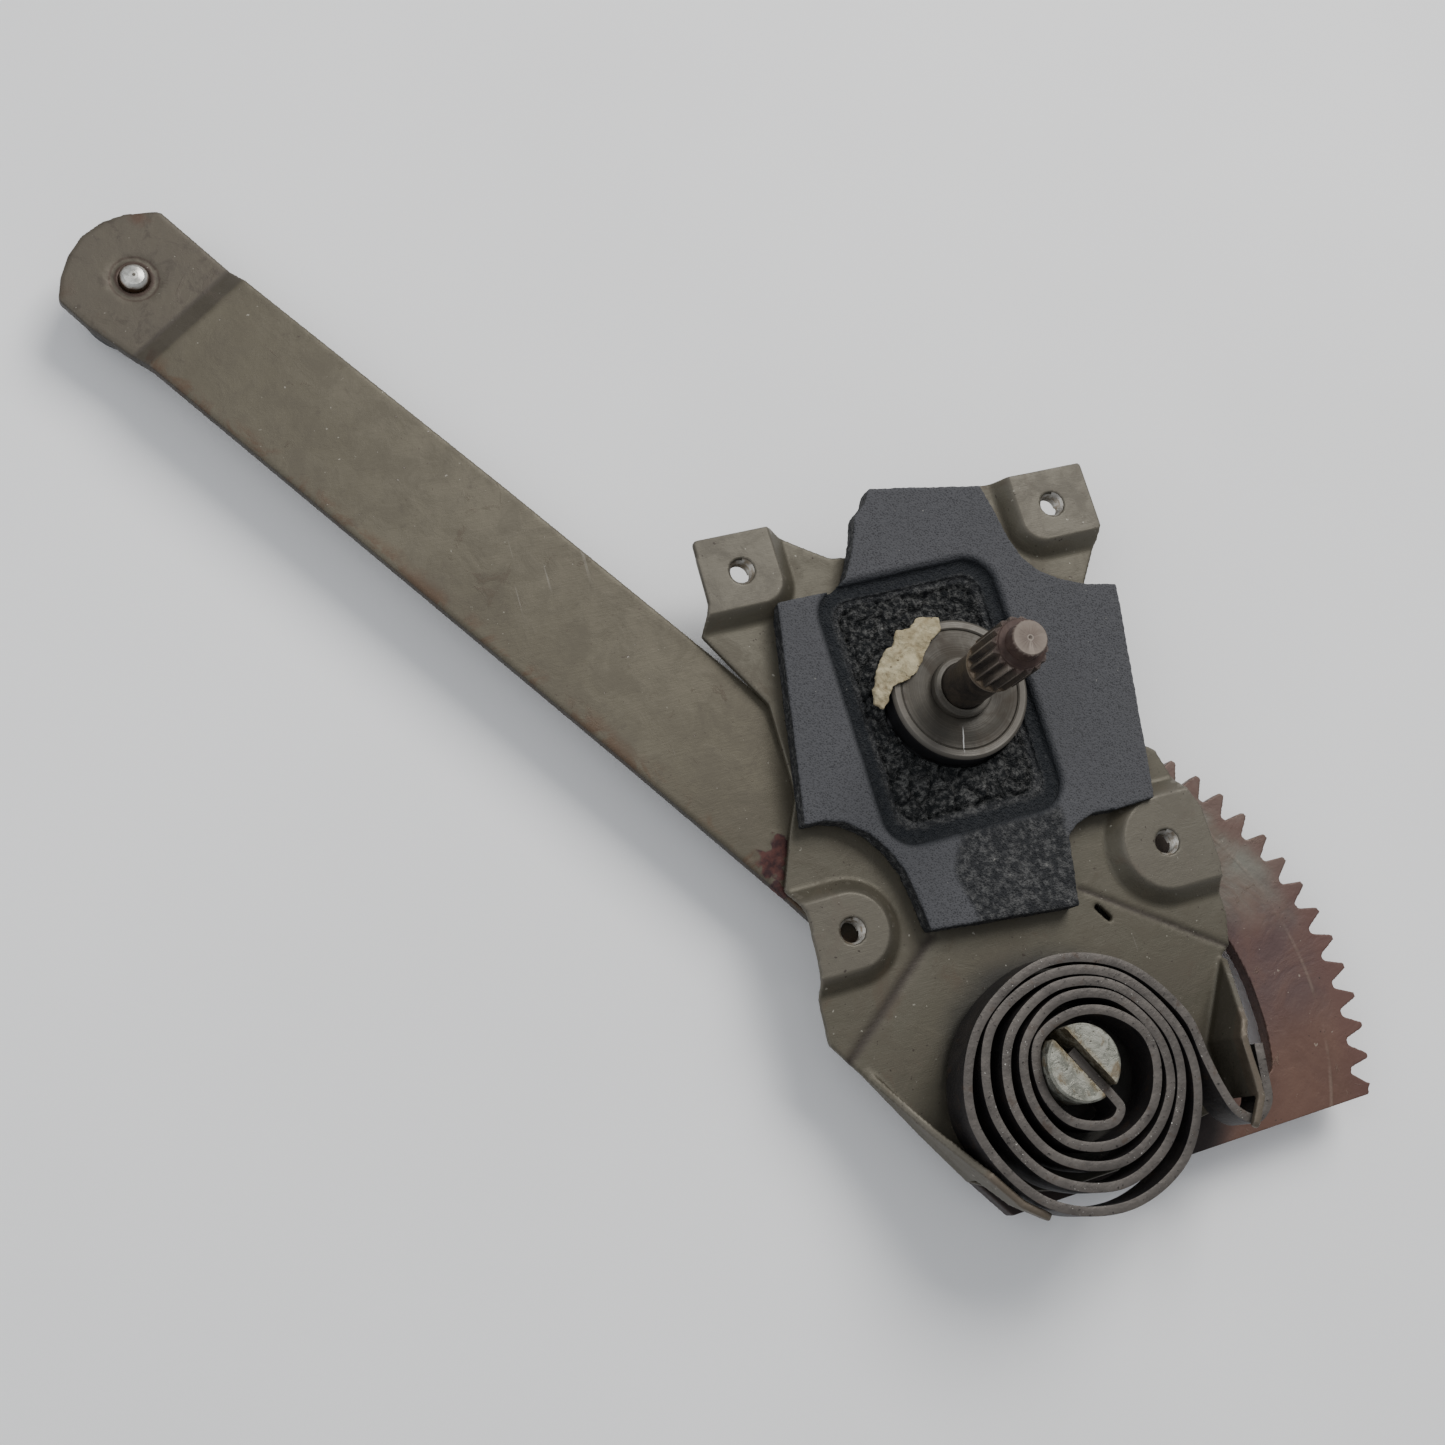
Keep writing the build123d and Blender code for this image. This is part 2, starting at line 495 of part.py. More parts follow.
def build_pinion():
    # six tooth pinion, its lower journal and the driven disc in the drum, one forging
    radii = [PINION_ROOT_R + 0.4 + i * (PINION_TIP_R - PINION_ROOT_R - 0.4) / 8 for i in range(9)]
    side = [(r, max(pinion_half(r) - 0.004, 0.03)) for r in radii]
    mesh_shift = SPINDLE_DEG - FIRST_TOOTH_DEG - PITCH / 2
    mesh_shift = mesh_shift - PITCH * round(mesh_shift / PITCH)
    turn = SPINDLE_DEG + 180 + mesh_shift * SECTOR_TEETH_FULL / PINION_TEETH
    right = [(r * math.cos(a), -r * math.sin(a)) for r, a in side]
    left = [(x, -y) for x, y in reversed(right)]
    with BuildPart() as pinion:
        with BuildSketch(mode=Mode.PRIVATE) as tooth:
            with BuildLine():
                Polyline((0, right[0][1]), *right, *left, (0, left[-1][1]), close=True)
            make_face()
        with BuildSketch(Plane.XY.offset(PINION_LOW)):
            with Locations((0, SPINDLE_Y)):
                Circle(PINION_ROOT_R)
                with PolarLocations(0, PINION_TEETH, start_angle=turn):
                    add(tooth.sketch)
        extrude(amount=PINION_HIGH - PINION_LOW)
        end = BRACKET_LOW - 1.9
        revolved([(0, end), (JOURNAL_R - 0.4, end), (JOURNAL_R, end + 0.4), (JOURNAL_R, PINION_LOW),
                  (0, PINION_LOW)], 0, SPINDLE_Y)
        disc(PINION_HIGH, -2.3, 6.9, 0, SPINDLE_Y)
        disc(-2.4, -0.9, 12.0, 0, SPINDLE_Y)
        disc(-6.8, 0, 3.22, 0, SPINDLE_Y, Mode.SUBTRACT)
        with BuildSketch(Plane.XY.offset(BRACKET_LOW - 1.4)):
            with Locations((0, SPINDLE_Y)):
                Circle(JOURNAL_R + 1)
                Circle(3.3, mode=Mode.SUBTRACT)
        extrude(amount=1.0, mode=Mode.SUBTRACT)
    save(pinion, "pinion")


def build_pinion_clip():
    with BuildPart() as pinion_clip:
        ring(BRACKET_LOW - 1.35, BRACKET_LOW - 0.45, 6.2, 3.35, 0, SPINDLE_Y)
        with BuildSketch(Plane.XY.offset(BRACKET_LOW - 2)):
            with Locations((0, SPINDLE_Y - 5)):
                Rectangle(4.4, 6.0)
        extrude(amount=3, mode=Mode.SUBTRACT)
    save(pinion_clip, "pinion_clip")


# ---- sector gear --------------------------------------------------------------------------
def sector_edge():
    # toothed edge from the wide lower end tooth round to the wide hidden one, counter-clockwise
    points = []
    for k in range(TOOTH_COUNT):
        mid = FIRST_TOOTH_DEG + PITCH * k
        root = math.degrees(math.asin(ROOT_HALF_W / ROOT_CIRCLE))
        tip = math.degrees(math.asin(TIP_HALF_W / TIP_CIRCLE))
        if k > 0:
            points.append(polar(ROOT_CIRCLE, mid - root))
            points.append(polar(TIP_CIRCLE, mid - tip))
        if k < TOOTH_COUNT - 1:
            points.append(polar(TIP_CIRCLE, mid + tip))
            points.append(polar(ROOT_CIRCLE, mid + root))
    return points


def build_sector_gear():
    last = FIRST_TOOTH_DEG + PITCH * (TOOTH_COUNT - 1)
    start_x = math.sqrt(TIP_CIRCLE ** 2 - SECTOR_LOW_Y ** 2)
    body = [(start_x - 0.6, SECTOR_LOW_Y), (start_x + 0.1, SECTOR_LOW_Y + 1.6)] + sector_edge()
    body += [polar(TIP_CIRCLE, last + 2.2), polar(ROOT_CIRCLE - 6, last + 3.0), (-30.5, 30.0), (-30.0, -6.0),
             (-25.6, -16.5), (-18.0, SECTOR_LOW_Y)]
    with BuildPart() as sector_gear:
        with BuildSketch(mode=Mode.PRIVATE) as blank:
            with BuildLine():
                Polyline(*body, close=True)
            make_face()
            with BuildLine():
                CenterArc((0, 0), WINDOW_R, -18, 52)
                Line(polar(WINDOW_R, 34), polar(WINDOW_IN_R, 34))
                CenterArc((0, 0), WINDOW_IN_R, 34, -52)
                Line(polar(WINDOW_IN_R, -18), polar(WINDOW_R, -18))
            make_face(mode=Mode.SUBTRACT)
            Circle(6.5, mode=Mode.SUBTRACT)
        with BuildSketch(Plane.XY.offset(SECTOR_LOW)):
            with Locations((PIVOT_X, PIVOT_Y)):
                add(blank.sketch)
            for x, y in ARM_RIVETS:
                with Locations((x, y)):
                    Circle(3.0, mode=Mode.SUBTRACT)
        extrude(amount=SECTOR_T)
        pivot = Vector(PIVOT_X, PIVOT_Y, sector_gear.part.center().Z)
        uprights = sector_gear.edges().filter_by(Axis.Z)
        corners = uprights.filter_by(lambda e: WINDOW_IN_R - 1 < (e.center() - pivot).length < WINDOW_R + 1)
        fillet(corners, radius=4.0)
    save(sector_gear, "sector_gear")


# ---- lift arm -----------------------------------------------------------------------------
def along_arm(run, side):
    # a point on the arm: run from the pivot towards the stud, side to the left of that
    a = math.radians(ARM_STUD_DEG)
    return at_pivot(run * math.cos(a) - side * math.sin(a), run * math.sin(a) + side * math.cos(a))


ARM_RIVETS = [along_arm(30.0, -1.0), along_arm(52.0, -12.5), along_arm(33.0, -18.5)]
STEP_RUN = ARM_STUD_R - 15.0


def arm_outline():
    end = ARM_STUD_R
    return [(-14.0, 12.0), (-20.0, 0.0), (-14.0, -14.0), (6.0, -24.0), (70.0, -23.6), (120.0, -22.0),
            (180.0, -19.9), (STEP_RUN, -16.4), (end + 7.5, -16.3), (end + 9.5, -14.3), (end + 12.7, -9.8),
            (end + 14.6, -5.0), (end + 15.1, 0.6), (end + 13.8, 6.0), (end + 11.2, 11.0), (end + 7.8, 15.2),
            (end - 1.0, 15.3), (STEP_RUN, 13.6), (180.0, 12.0), (120.0, 10.8), (70.0, 10.2), (20.0, 11.4)]


def build_lift_arm():
    shape = [along_arm(r, s) for r, s in arm_outline()]
    with BuildPart() as lift_arm:
        with BuildSketch(Plane.XY.offset(ARM_LOW - ARM_STEP)):
            with BuildLine():
                Polyline(*shape, close=True)
            make_face()
        extrude(amount=ARM_T + ARM_STEP)
        # step near the end: cut the top away past it and the underside away before it
        a = math.radians(ARM_STUD_DEG)
        side_on = Plane(origin=(PIVOT_X, PIVOT_Y, 0), x_dir=(math.cos(a), math.sin(a), 0),
                        z_dir=(math.sin(a), -math.cos(a), 0))
        with BuildSketch(side_on):
            with BuildLine():
                Polyline((STEP_RUN - 2.5, ARM_TOP), (STEP_RUN + 2.0, ARM_TOP - ARM_STEP),
                         (ARM_STUD_R + 40, ARM_TOP - ARM_STEP), (ARM_STUD_R + 40, ARM_TOP + 5),
                         (STEP_RUN - 2.5, ARM_TOP + 5), close=True)
            make_face()
            with BuildLine():
                Polyline((-60, ARM_LOW - ARM_STEP - 5), (-60, ARM_LOW), (STEP_RUN - 3.7, ARM_LOW),
                         (STEP_RUN + 0.8, ARM_LOW - ARM_STEP),
                         (STEP_RUN + 0.8, ARM_LOW - ARM_STEP - 5), close=True)
            make_face()
        extrude(amount=60, both=True, mode=Mode.SUBTRACT)
        with BuildSketch(Plane.XY.offset(ARM_LOW - ARM_STEP - 1)):
            with Locations((PIVOT_X, PIVOT_Y)):
                Circle(6.5)
            with Locations((STUD_X, STUD_Y)):
                Circle(3.2)
            for x, y in ARM_RIVETS:
                with Locations((x, y)):
                    Circle(3.0)
        extrude(amount=20, mode=Mode.SUBTRACT)
    save(lift_arm, "lift_arm")


def build_arm_rivets():
    with BuildPart() as arm_rivets:
        for x, y in ARM_RIVETS:
            revolved([(0, SECTOR_LOW - 1.6), (3.4, SECTOR_LOW - 1.6), (5.0, SECTOR_LOW), (3.0, SECTOR_LOW),
                      (3.0, ARM_TOP), (0, ARM_TOP)], x, y)
    save(arm_rivets, "arm_rivets")


def build_pivot_pin():
    with BuildPart() as pivot_pin:
        revolved([(0, SECTOR_LOW - 2.4), (6.8, SECTOR_LOW - 2.4), (8.6, SECTOR_LOW - 1.0),
                  (6.5, SECTOR_LOW - 1.0), (6.5, ARM_TOP), (PIN_R, ARM_TOP), (PIN_R, -1.9),
                  (PIN_R - 0.9, -1.9), (PIN_R - 0.9, -0.9),
                  (PIN_R, -0.9), (PIN_R, PIN_TOP - 0.5), (PIN_R - 0.5, PIN_TOP), (0, PIN_TOP)],
                 PIVOT_X, PIVOT_Y)
        with BuildSketch(Plane.XY.offset(SPRING_LOW - 0.4)):
            side_x, side_y = polar(SLOT_SIDE, SLOT_DEG + 90)
            with Locations(at_pivot(side_x, side_y)):
                Rectangle(30.0, SLOT_W, rotation=SLOT_DEG)
        extrude(amount=30, mode=Mode.SUBTRACT)
    save(pivot_pin, "pivot_pin")


def build_pivot_clip():
    with BuildPart() as pivot_clip:
        ring(-1.85, -0.95, PIN_R + CLIP_RIM, PIN_R - 0.85, PIVOT_X, PIVOT_Y)
        with BuildSketch(Plane.XY.offset(-3)):
            with Locations(at_pivot(-9.0, 0)):
                Rectangle(9.0, 6.0)
        extrude(amount=4, mode=Mode.SUBTRACT)
    save(pivot_clip, "pivot_clip")


def build_pivot_washer():
    with BuildPart() as pivot_washer:
        ring(SECTOR_LOW - 1.0, SECTOR_LOW, 11.5, 6.5, PIVOT_X, PIVOT_Y)
    save(pivot_washer, "pivot_washer")


# ---- roller stud and roller ---------------------------------------------------------------
END_TOP = ARM_TOP - ARM_STEP
END_LOW = END_TOP - ARM_T
ROLLER_HIGH = END_LOW - 1.2
ROLLER_LOW = ROLLER_HIGH - ROLLER_T


def build_roller_stud():
    with BuildPart() as roller_stud:
        revolved([(0, ROLLER_LOW - 2.0), (6.0, ROLLER_LOW - 2.0), (6.6, ROLLER_LOW - 1.4),
                  (6.6, ROLLER_LOW - 0.3), (STUD_R, ROLLER_LOW - 0.3), (STUD_R, ROLLER_HIGH + 0.2),
                  (6.0, ROLLER_HIGH + 0.2), (6.0, END_LOW),
                  (3.2, END_LOW), (3.2, END_TOP), (3.4, END_TOP), (3.1, END_TOP + 1.0), (2.2, END_TOP + 1.7),
                  (1.0, END_TOP + 2.0), (0, END_TOP + 2.05)], STUD_X, STUD_Y)
    save(roller_stud, "roller_stud")


def build_roller():
    bore = STUD_R + 1.6
    with BuildPart() as roller:
        revolved([(bore, ROLLER_LOW), (ROLLER_R - 1.2, ROLLER_LOW), (ROLLER_R, ROLLER_LOW + 1.2),
                  (ROLLER_R, ROLLER_HIGH - 1.2), (ROLLER_R - 1.2, ROLLER_HIGH), (8.6, ROLLER_HIGH),
                  (8.6, ROLLER_HIGH - 0.6), (7.4, ROLLER_HIGH - 0.6), (7.4, ROLLER_HIGH),
                  (bore, ROLLER_HIGH)],
                 STUD_X, STUD_Y)
    save(roller, "roller")


def build_roller_sleeve():
    with BuildPart() as roller_sleeve:
        ring(ROLLER_LOW, ROLLER_HIGH, STUD_R + 1.6, STUD_R + ROLLER_FIT, STUD_X, STUD_Y)
    save(roller_sleeve, "roller_sleeve")


# ---- counterbalance spring ----------------------------------------------------------------
# centre line of the strip from the end in the pin's slot, clockwise out to the hook round the
# tab, measured from the pivot
COIL = [
    (-0.9, 3.2), (2.2, -3.0), (5.4, -9.2), (6.2, -11.6), (4.2, -13.7), (0.5, -13.9), (-6.4, -10.6),
    (-10.0, -3.0), (-7.8, 7.0), (1.5, 10.8), (10.5, 9.0), (17.2, 2.5), (17.8, -5.0), (13.0, -14.0),
    (2.5, -18.4), (-8.0, -15.0), (-13.2, -5.0), (-11.0, 7.0), (0.0, 14.3), (12.6, 11.8), (20.0, 1.0),
    (19.5, -10.0), (12.0, -19.0), (1.0, -22.5), (-12.0, -17.0), (-17.7, -4.0), (-13.5, 10.0), (0.0, 17.3),
    (14.0, 13.8), (22.8, 1.0), (22.3, -10.0), (14.0, -22.0), (0.5, -26.9), (-15.0, -20.5), (-22.6, -4.0),
    (-17.0, 13.0), (0.0, 20.1), (15.6, 15.6), (25.4, 1.0), (25.6, -12.0), (17.0, -26.0), (0.5, -31.6),
    (-17.4, -25.2), (-27.6, -5.0), (-20.2, 13.5), (-1.0, 22.9), (17.2, 17.8), (28.3, 3.0), (29.7, -7.0),
    (31.0, -14.6), (33.0, -20.2), (36.9, -22.9), (40.9, -20.2), (42.3, -14.0), (43.3, -7.6),
]


def smooth(points, per):
    # evenly shaped curve through the points, with its unit normals
    out = []
    for i in range(len(points) - 1):
        p0 = points[max(i - 1, 0)]
        p1 = points[i]
        p2 = points[i + 1]
        p3 = points[min(i + 2, len(points) - 1)]
        pairs = ((p0, p1), (p1, p2), (p2, p3))
        gap = [max(math.hypot(b[0] - a[0], b[1] - a[1]) ** 0.5, 1e-6) for a, b in pairs]
        if i == 0:
            gap[0] = gap[1]
        if i == len(points) - 2:
            gap[2] = gap[1]
        last = i == len(points) - 2
        for j in range(per + (1 if last else 0)):
            t = j / per
            point = []
            slope = []
            for axis in (0, 1):
                m1 = (p2[axis] - p1[axis]) - gap[1] * (p2[axis] - p0[axis]) / (gap[0] + gap[1])
                m1 += gap[1] * (p1[axis] - p0[axis]) / gap[0]
                m2 = (p2[axis] - p1[axis]) - gap[1] * (p3[axis] - p1[axis]) / (gap[1] + gap[2])
                m2 += gap[1] * (p3[axis] - p2[axis]) / gap[2]
                a = 2 * (p1[axis] - p2[axis]) + m1 + m2
                b = -3 * (p1[axis] - p2[axis]) - 2 * m1 - m2
                point.append(((a * t + b) * t + m1) * t + p1[axis])
                slope.append((3 * a * t + 2 * b) * t + m1)
            size = math.hypot(*slope)
            out.append((point[0], point[1], -slope[1] / size, slope[0] / size))
    return out


def build_counterbalance_spring():
    line = smooth(COIL, 4)
    left = [at_pivot(x + nx * SPRING_T / 2, y + ny * SPRING_T / 2) for x, y, nx, ny in line]
    right = [at_pivot(x - nx * SPRING_T / 2, y - ny * SPRING_T / 2) for x, y, nx, ny in line]
    with BuildPart() as counterbalance_spring:
        with BuildSketch(Plane.XY.offset(SPRING_LOW)):
            with BuildLine():
                Spline(*left)
                Line(left[-1], right[-1])
                Spline(*reversed(right))
                Line(right[0], left[0])
            make_face()
        extrude(amount=SPRING_HIGH - SPRING_LOW)
    save(counterbalance_spring, "counterbalance_spring")


build_base_plate()
build_pivot_bush()
build_foam_seal()
build_brake_drum()
build_drum_cover()
build_spindle_bush()
build_drum_rivets()
build_pinion_bracket()
build_bracket_bush()
build_bracket_rivets()
build_crank_spindle()
build_driver_cam()
build_clutch_spring()
build_pinion()
build_pinion_clip()
build_sector_gear()
build_lift_arm()
build_arm_rivets()
build_pivot_pin()
build_pivot_clip()
build_pivot_washer()
build_roller_stud()
build_roller()
build_roller_sleeve()
build_counterbalance_spring()
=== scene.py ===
import heapq
import math

import bpy
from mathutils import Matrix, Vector, noise
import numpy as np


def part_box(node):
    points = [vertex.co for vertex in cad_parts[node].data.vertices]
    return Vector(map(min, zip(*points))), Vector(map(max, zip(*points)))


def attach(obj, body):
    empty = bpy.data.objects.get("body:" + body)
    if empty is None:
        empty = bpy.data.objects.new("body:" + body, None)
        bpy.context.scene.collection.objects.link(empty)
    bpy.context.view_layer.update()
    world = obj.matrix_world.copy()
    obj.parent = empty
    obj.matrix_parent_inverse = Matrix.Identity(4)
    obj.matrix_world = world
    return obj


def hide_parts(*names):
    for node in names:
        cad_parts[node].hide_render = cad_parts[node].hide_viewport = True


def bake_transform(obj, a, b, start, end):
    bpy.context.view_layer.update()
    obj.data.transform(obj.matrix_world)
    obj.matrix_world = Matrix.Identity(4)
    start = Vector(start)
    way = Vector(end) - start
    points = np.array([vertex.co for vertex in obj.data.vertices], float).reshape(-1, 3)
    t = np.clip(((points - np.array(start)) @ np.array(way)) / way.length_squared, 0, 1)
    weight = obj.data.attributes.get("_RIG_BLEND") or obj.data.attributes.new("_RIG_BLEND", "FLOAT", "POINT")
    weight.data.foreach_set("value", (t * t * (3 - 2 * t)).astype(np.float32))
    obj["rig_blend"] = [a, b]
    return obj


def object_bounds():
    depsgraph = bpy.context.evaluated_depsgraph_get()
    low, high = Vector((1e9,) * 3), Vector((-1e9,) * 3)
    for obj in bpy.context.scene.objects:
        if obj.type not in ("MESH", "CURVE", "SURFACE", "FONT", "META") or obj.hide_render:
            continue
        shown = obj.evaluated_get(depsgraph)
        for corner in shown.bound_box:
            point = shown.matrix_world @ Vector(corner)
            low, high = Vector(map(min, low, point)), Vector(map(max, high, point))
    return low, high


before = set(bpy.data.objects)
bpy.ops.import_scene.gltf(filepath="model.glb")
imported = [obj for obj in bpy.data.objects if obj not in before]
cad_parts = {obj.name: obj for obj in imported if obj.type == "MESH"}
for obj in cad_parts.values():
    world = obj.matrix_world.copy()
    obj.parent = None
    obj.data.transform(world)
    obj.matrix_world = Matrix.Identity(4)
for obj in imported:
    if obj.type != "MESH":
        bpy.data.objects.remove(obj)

cad_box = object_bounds()

# Rest of the file follows the window regulator as it is put together: plate, arm, sector, pivot,
# spring, spindle and brake, foam, then the small parts, the table and the lights. Metres.

# ---- base plate ---------------------------------------------------------------------------
# Pressed from 1.8 mm steel: four raised, tapped pads, a guard wall and a tab for the spring.
# The dull grey sheet carries a thin brown film with pin-head specks; painted shade darkens the bend creases
# and the well round the spring.
PAD_X = 0.0405
PAD_Y = 0.0428
PLATE_TOP = -0.0036
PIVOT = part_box("pivot_washer")
PIVOT_X = (PIVOT[0][0] + PIVOT[1][0]) / 2
PIVOT_Y = (PIVOT[0][1] + PIVOT[1][1]) / 2
SPINDLE_X = 0.0
SPINDLE_Y = 0.0033
BEND_LINES = [((-0.0217, -0.0486), (-0.0492, -0.0701), 0.0012, 0.00026),
              ((0.0174, -0.0477), (0.0485, -0.0696), 0.00060, 0.00036)]
TAP_ROOT_R = 0.00298
TAP_CREST_R = 0.0025
THREAD_PITCH = 0.001


class Wire:
    """A value or colour on its way through a finish. Sums and products on it add Math nodes."""

    def __init__(self, tree, socket):
        self.tree = tree
        self.socket = socket

    def node(self, kind, settings=None, values=None, out=0):
        made = self.tree.nodes.new(kind)
        for key, value in (settings or {}).items():
            setattr(made, key, value)
        for key, value in (values or {}).items():
            if isinstance(value, Wire):
                self.tree.links.new(value.socket, made.inputs[key])
            else:
                made.inputs[key].default_value = value
        return Wire(self.tree, made.outputs[out])

    def math(self, operation, first, second=0.0):
        return self.node("ShaderNodeMath", {"operation": operation}, {0: first, 1: second})

    def __add__(self, other):
        return self.math("ADD", self, other)

    def __radd__(self, other):
        return self.math("ADD", other, self)

    def __sub__(self, other):
        return self.math("SUBTRACT", self, other)

    def __rsub__(self, other):
        return self.math("SUBTRACT", other, self)

    def __mul__(self, other):
        return self.math("MULTIPLY", self, other)

    def __rmul__(self, other):
        return self.math("MULTIPLY", other, self)

    def ramp(self, low, high, start=0.0, end=1.0):
        settings = {"interpolation_type": "SMOOTHSTEP", "clamp": True}
        return self.node("ShaderNodeMapRange", settings, {0: self, 1: low, 2: high, 3: start, 4: end})

    def grain(self, scale, detail=4.0, rough=0.55, warp=0.0):
        values = {"Vector": self, "Scale": scale, "Detail": detail, "Roughness": rough, "Distortion": warp}
        return self.node("ShaderNodeTexNoise", {}, values)

    def pits(self, scale, spread=1.0):
        return self.node("ShaderNodeTexVoronoi", {}, {"Vector": self, "Scale": scale, "Randomness": spread})

    def mixed(self, colour, other, blend="MIX"):
        # self is the share of the other colour
        settings = {"data_type": "RGBA", "blend_type": blend}
        return self.node("ShaderNodeMix", settings, {0: self, 6: colour, 7: other}, 2)

    def moved(self, place=(0, 0, 0), turn=(0, 0, 0), scale=(1, 1, 1)):
        values = {"Vector": self, "Location": place, "Rotation": turn, "Scale": scale}
        return self.node("ShaderNodeMapping", {}, values)

    def part(self, axis):
        return self.node("ShaderNodeSeparateXYZ", {}, {0: self}, axis)

    def around(self, x, y):
        # distance from an upright line through x, y
        flat = self.moved((-x, -y, 0), scale=(1, 1, 0))
        return self.node("ShaderNodeVectorMath", {"operation": "LENGTH"}, {0: flat}, 1)


def start_finish(name):
    material = bpy.data.materials.new(name)
    material.use_nodes = True
    tree = material.node_tree
    return material, Wire(tree, tree.nodes.new("ShaderNodeTexCoord").outputs["Object"])


def lay_finish(material, colour, roughness, metallic, height=None, depth=0.0001, specular=0.5):
    tree = material.node_tree
    skin = tree.nodes["Principled BSDF"]
    skin.inputs["Specular IOR Level"].default_value = specular
    for name, value in (("Base Color", colour), ("Roughness", roughness), ("Metallic", metallic)):
        if isinstance(value, Wire):
            tree.links.new(value.socket, skin.inputs[name])
        else:
            skin.inputs[name].default_value = value
    if height is not None:
        bump = height.node("ShaderNodeBump", {}, {"Strength": 1.0, "Distance": depth, "Height": height})
        tree.links.new(bump.socket, skin.inputs["Normal"])


def worn_edge(wire):
    return wire.node("ShaderNodeNewGeometry", {}, {}, "Pointiness").ramp(0.52, 0.60)


def scratches(place, turn, share, reach):
    # a few fine straight scores lying one way
    fine = place.moved(turn=(0, 0, math.radians(turn)), scale=(1, 0.03, 1)).grain(900.0, 1.0, 0.3)
    return fine.ramp(share, share + 0.015) * place.grain(reach).ramp(0.52, 0.6)


def pressed_steel():
    material, place = start_finish("pressed_steel")
    cloud = place.grain(22.0, 5.0, 0.6)
    rubbed = (place.part(2) + cloud * 0.0008).ramp(-0.0014, 0.0002)
    film = place.grain(120.0, 8.0, 0.68, 0.5).ramp(0.42, 0.66)
    stain = place.grain(55.0, 7.0, 0.68, 1.2).ramp(0.57, 0.70)
    speck = place.grain(900.0, 2.0, 0.5).ramp(0.68, 0.73) * place.grain(60.0).ramp(0.42, 0.58)
    pale = place.grain(800.0, 2.0, 0.5).ramp(0.72, 0.76)
    rolled = place.moved(scale=(1, 14, 1)).grain(260.0, 3.0, 0.6)
    tone = cloud.ramp(0.3, 0.7).mixed((0.076, 0.067, 0.047, 1), (0.100, 0.090, 0.066, 1))
    tone = (film * 0.5).mixed(tone, (0.074, 0.061, 0.040, 1))
    tone = (stain * 0.45).mixed(tone, (0.074, 0.047, 0.026, 1))
    # painted shade along the pressed bend creases
    crease_shade = place.node("ShaderNodeAttribute", {"attribute_name": "crease_shade"}, {}, 2)
    tone = (rubbed * 0.45).mixed(tone, (0.125, 0.112, 0.090, 1))
    tone = (crease_shade * 0.80).mixed(tone, (0.026, 0.018, 0.014, 1))
    # painted shade in the well round the spring and pivot, out to about 30 mm
    spring_well_shade = (place.around(PIVOT_X, PIVOT_Y) + place.grain(120.0) * 0.004).ramp(0.024, 0.032, 1.0, 0.0)
    tone = (spring_well_shade * 0.8).mixed(tone, (0.018, 0.018, 0.018, 1))
    tone = (speck * 0.85).mixed(tone, (0.030, 0.020, 0.014, 1))
    tone = (pale * 0.45).mixed(tone, (0.42, 0.40, 0.34, 1))
    tone = (scratches(place, 38, 0.76, 45.0) * 0.25).mixed(tone, (0.36, 0.34, 0.31, 1))
    rim = place.part(2).ramp(0.0078, 0.0088)
    tone = (rim * 0.6).mixed(tone, (0.115, 0.086, 0.060, 1))
    edge = worn_edge(place)
    tone = (edge * 0.4).mixed(tone, (0.19, 0.17, 0.14, 1))
    rough = 0.46 + film * 0.12 + stain * 0.08 - edge * 0.12 + rolled * 0.06
    height = rolled * 0.25 + place.grain(420.0, 4.0) * 0.5 + film * 0.35
    lay_finish(material, tone, rough, 0.45 - film * 0.15 - stain * 0.15, height, 0.00010)
    return material


def picked(obj):
    # makes obj the only selected and active object
    bpy.ops.object.select_all(action="DESELECT")
    obj.select_set(True)
    bpy.context.view_layer.objects.active = obj


def cad_copy(node, name):
    # welded copy of a CAD node's mesh, to be finished with soft edges
    obj = bpy.data.objects.new(name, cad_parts[node].data.copy())
    bpy.context.collection.objects.link(obj)
    picked(obj)
    bpy.ops.mesh.customdata_custom_splitnormals_clear()
    bpy.ops.object.mode_set(mode="EDIT")
    bpy.ops.mesh.select_all(action="SELECT")
    bpy.ops.mesh.remove_doubles(threshold=0.000002)
    bpy.ops.object.mode_set(mode="OBJECT")
    return obj


def apply_modifier(obj, kind, **settings):
    modifier = obj.modifiers.new(kind.lower(), kind)
    for key, value in settings.items():
        setattr(modifier, key, value)
    picked(obj)
    bpy.ops.object.modifier_apply(modifier=modifier.name)


def rounded(obj, grain, passes, keep=1.0):
    # even small faces all over, eased at the edges as pressing and tumbling leave them
    apply_modifier(obj, "REMESH", mode="VOXEL", voxel_size=grain)
    apply_modifier(obj, "SMOOTH", factor=0.5, iterations=passes)
    if keep < 1:
        apply_modifier(obj, "DECIMATE", ratio=keep)
    picked(obj)
    bpy.ops.object.shade_smooth()


def dressed(obj, material):
    obj.data.materials.clear()
    obj.data.materials.append(material)


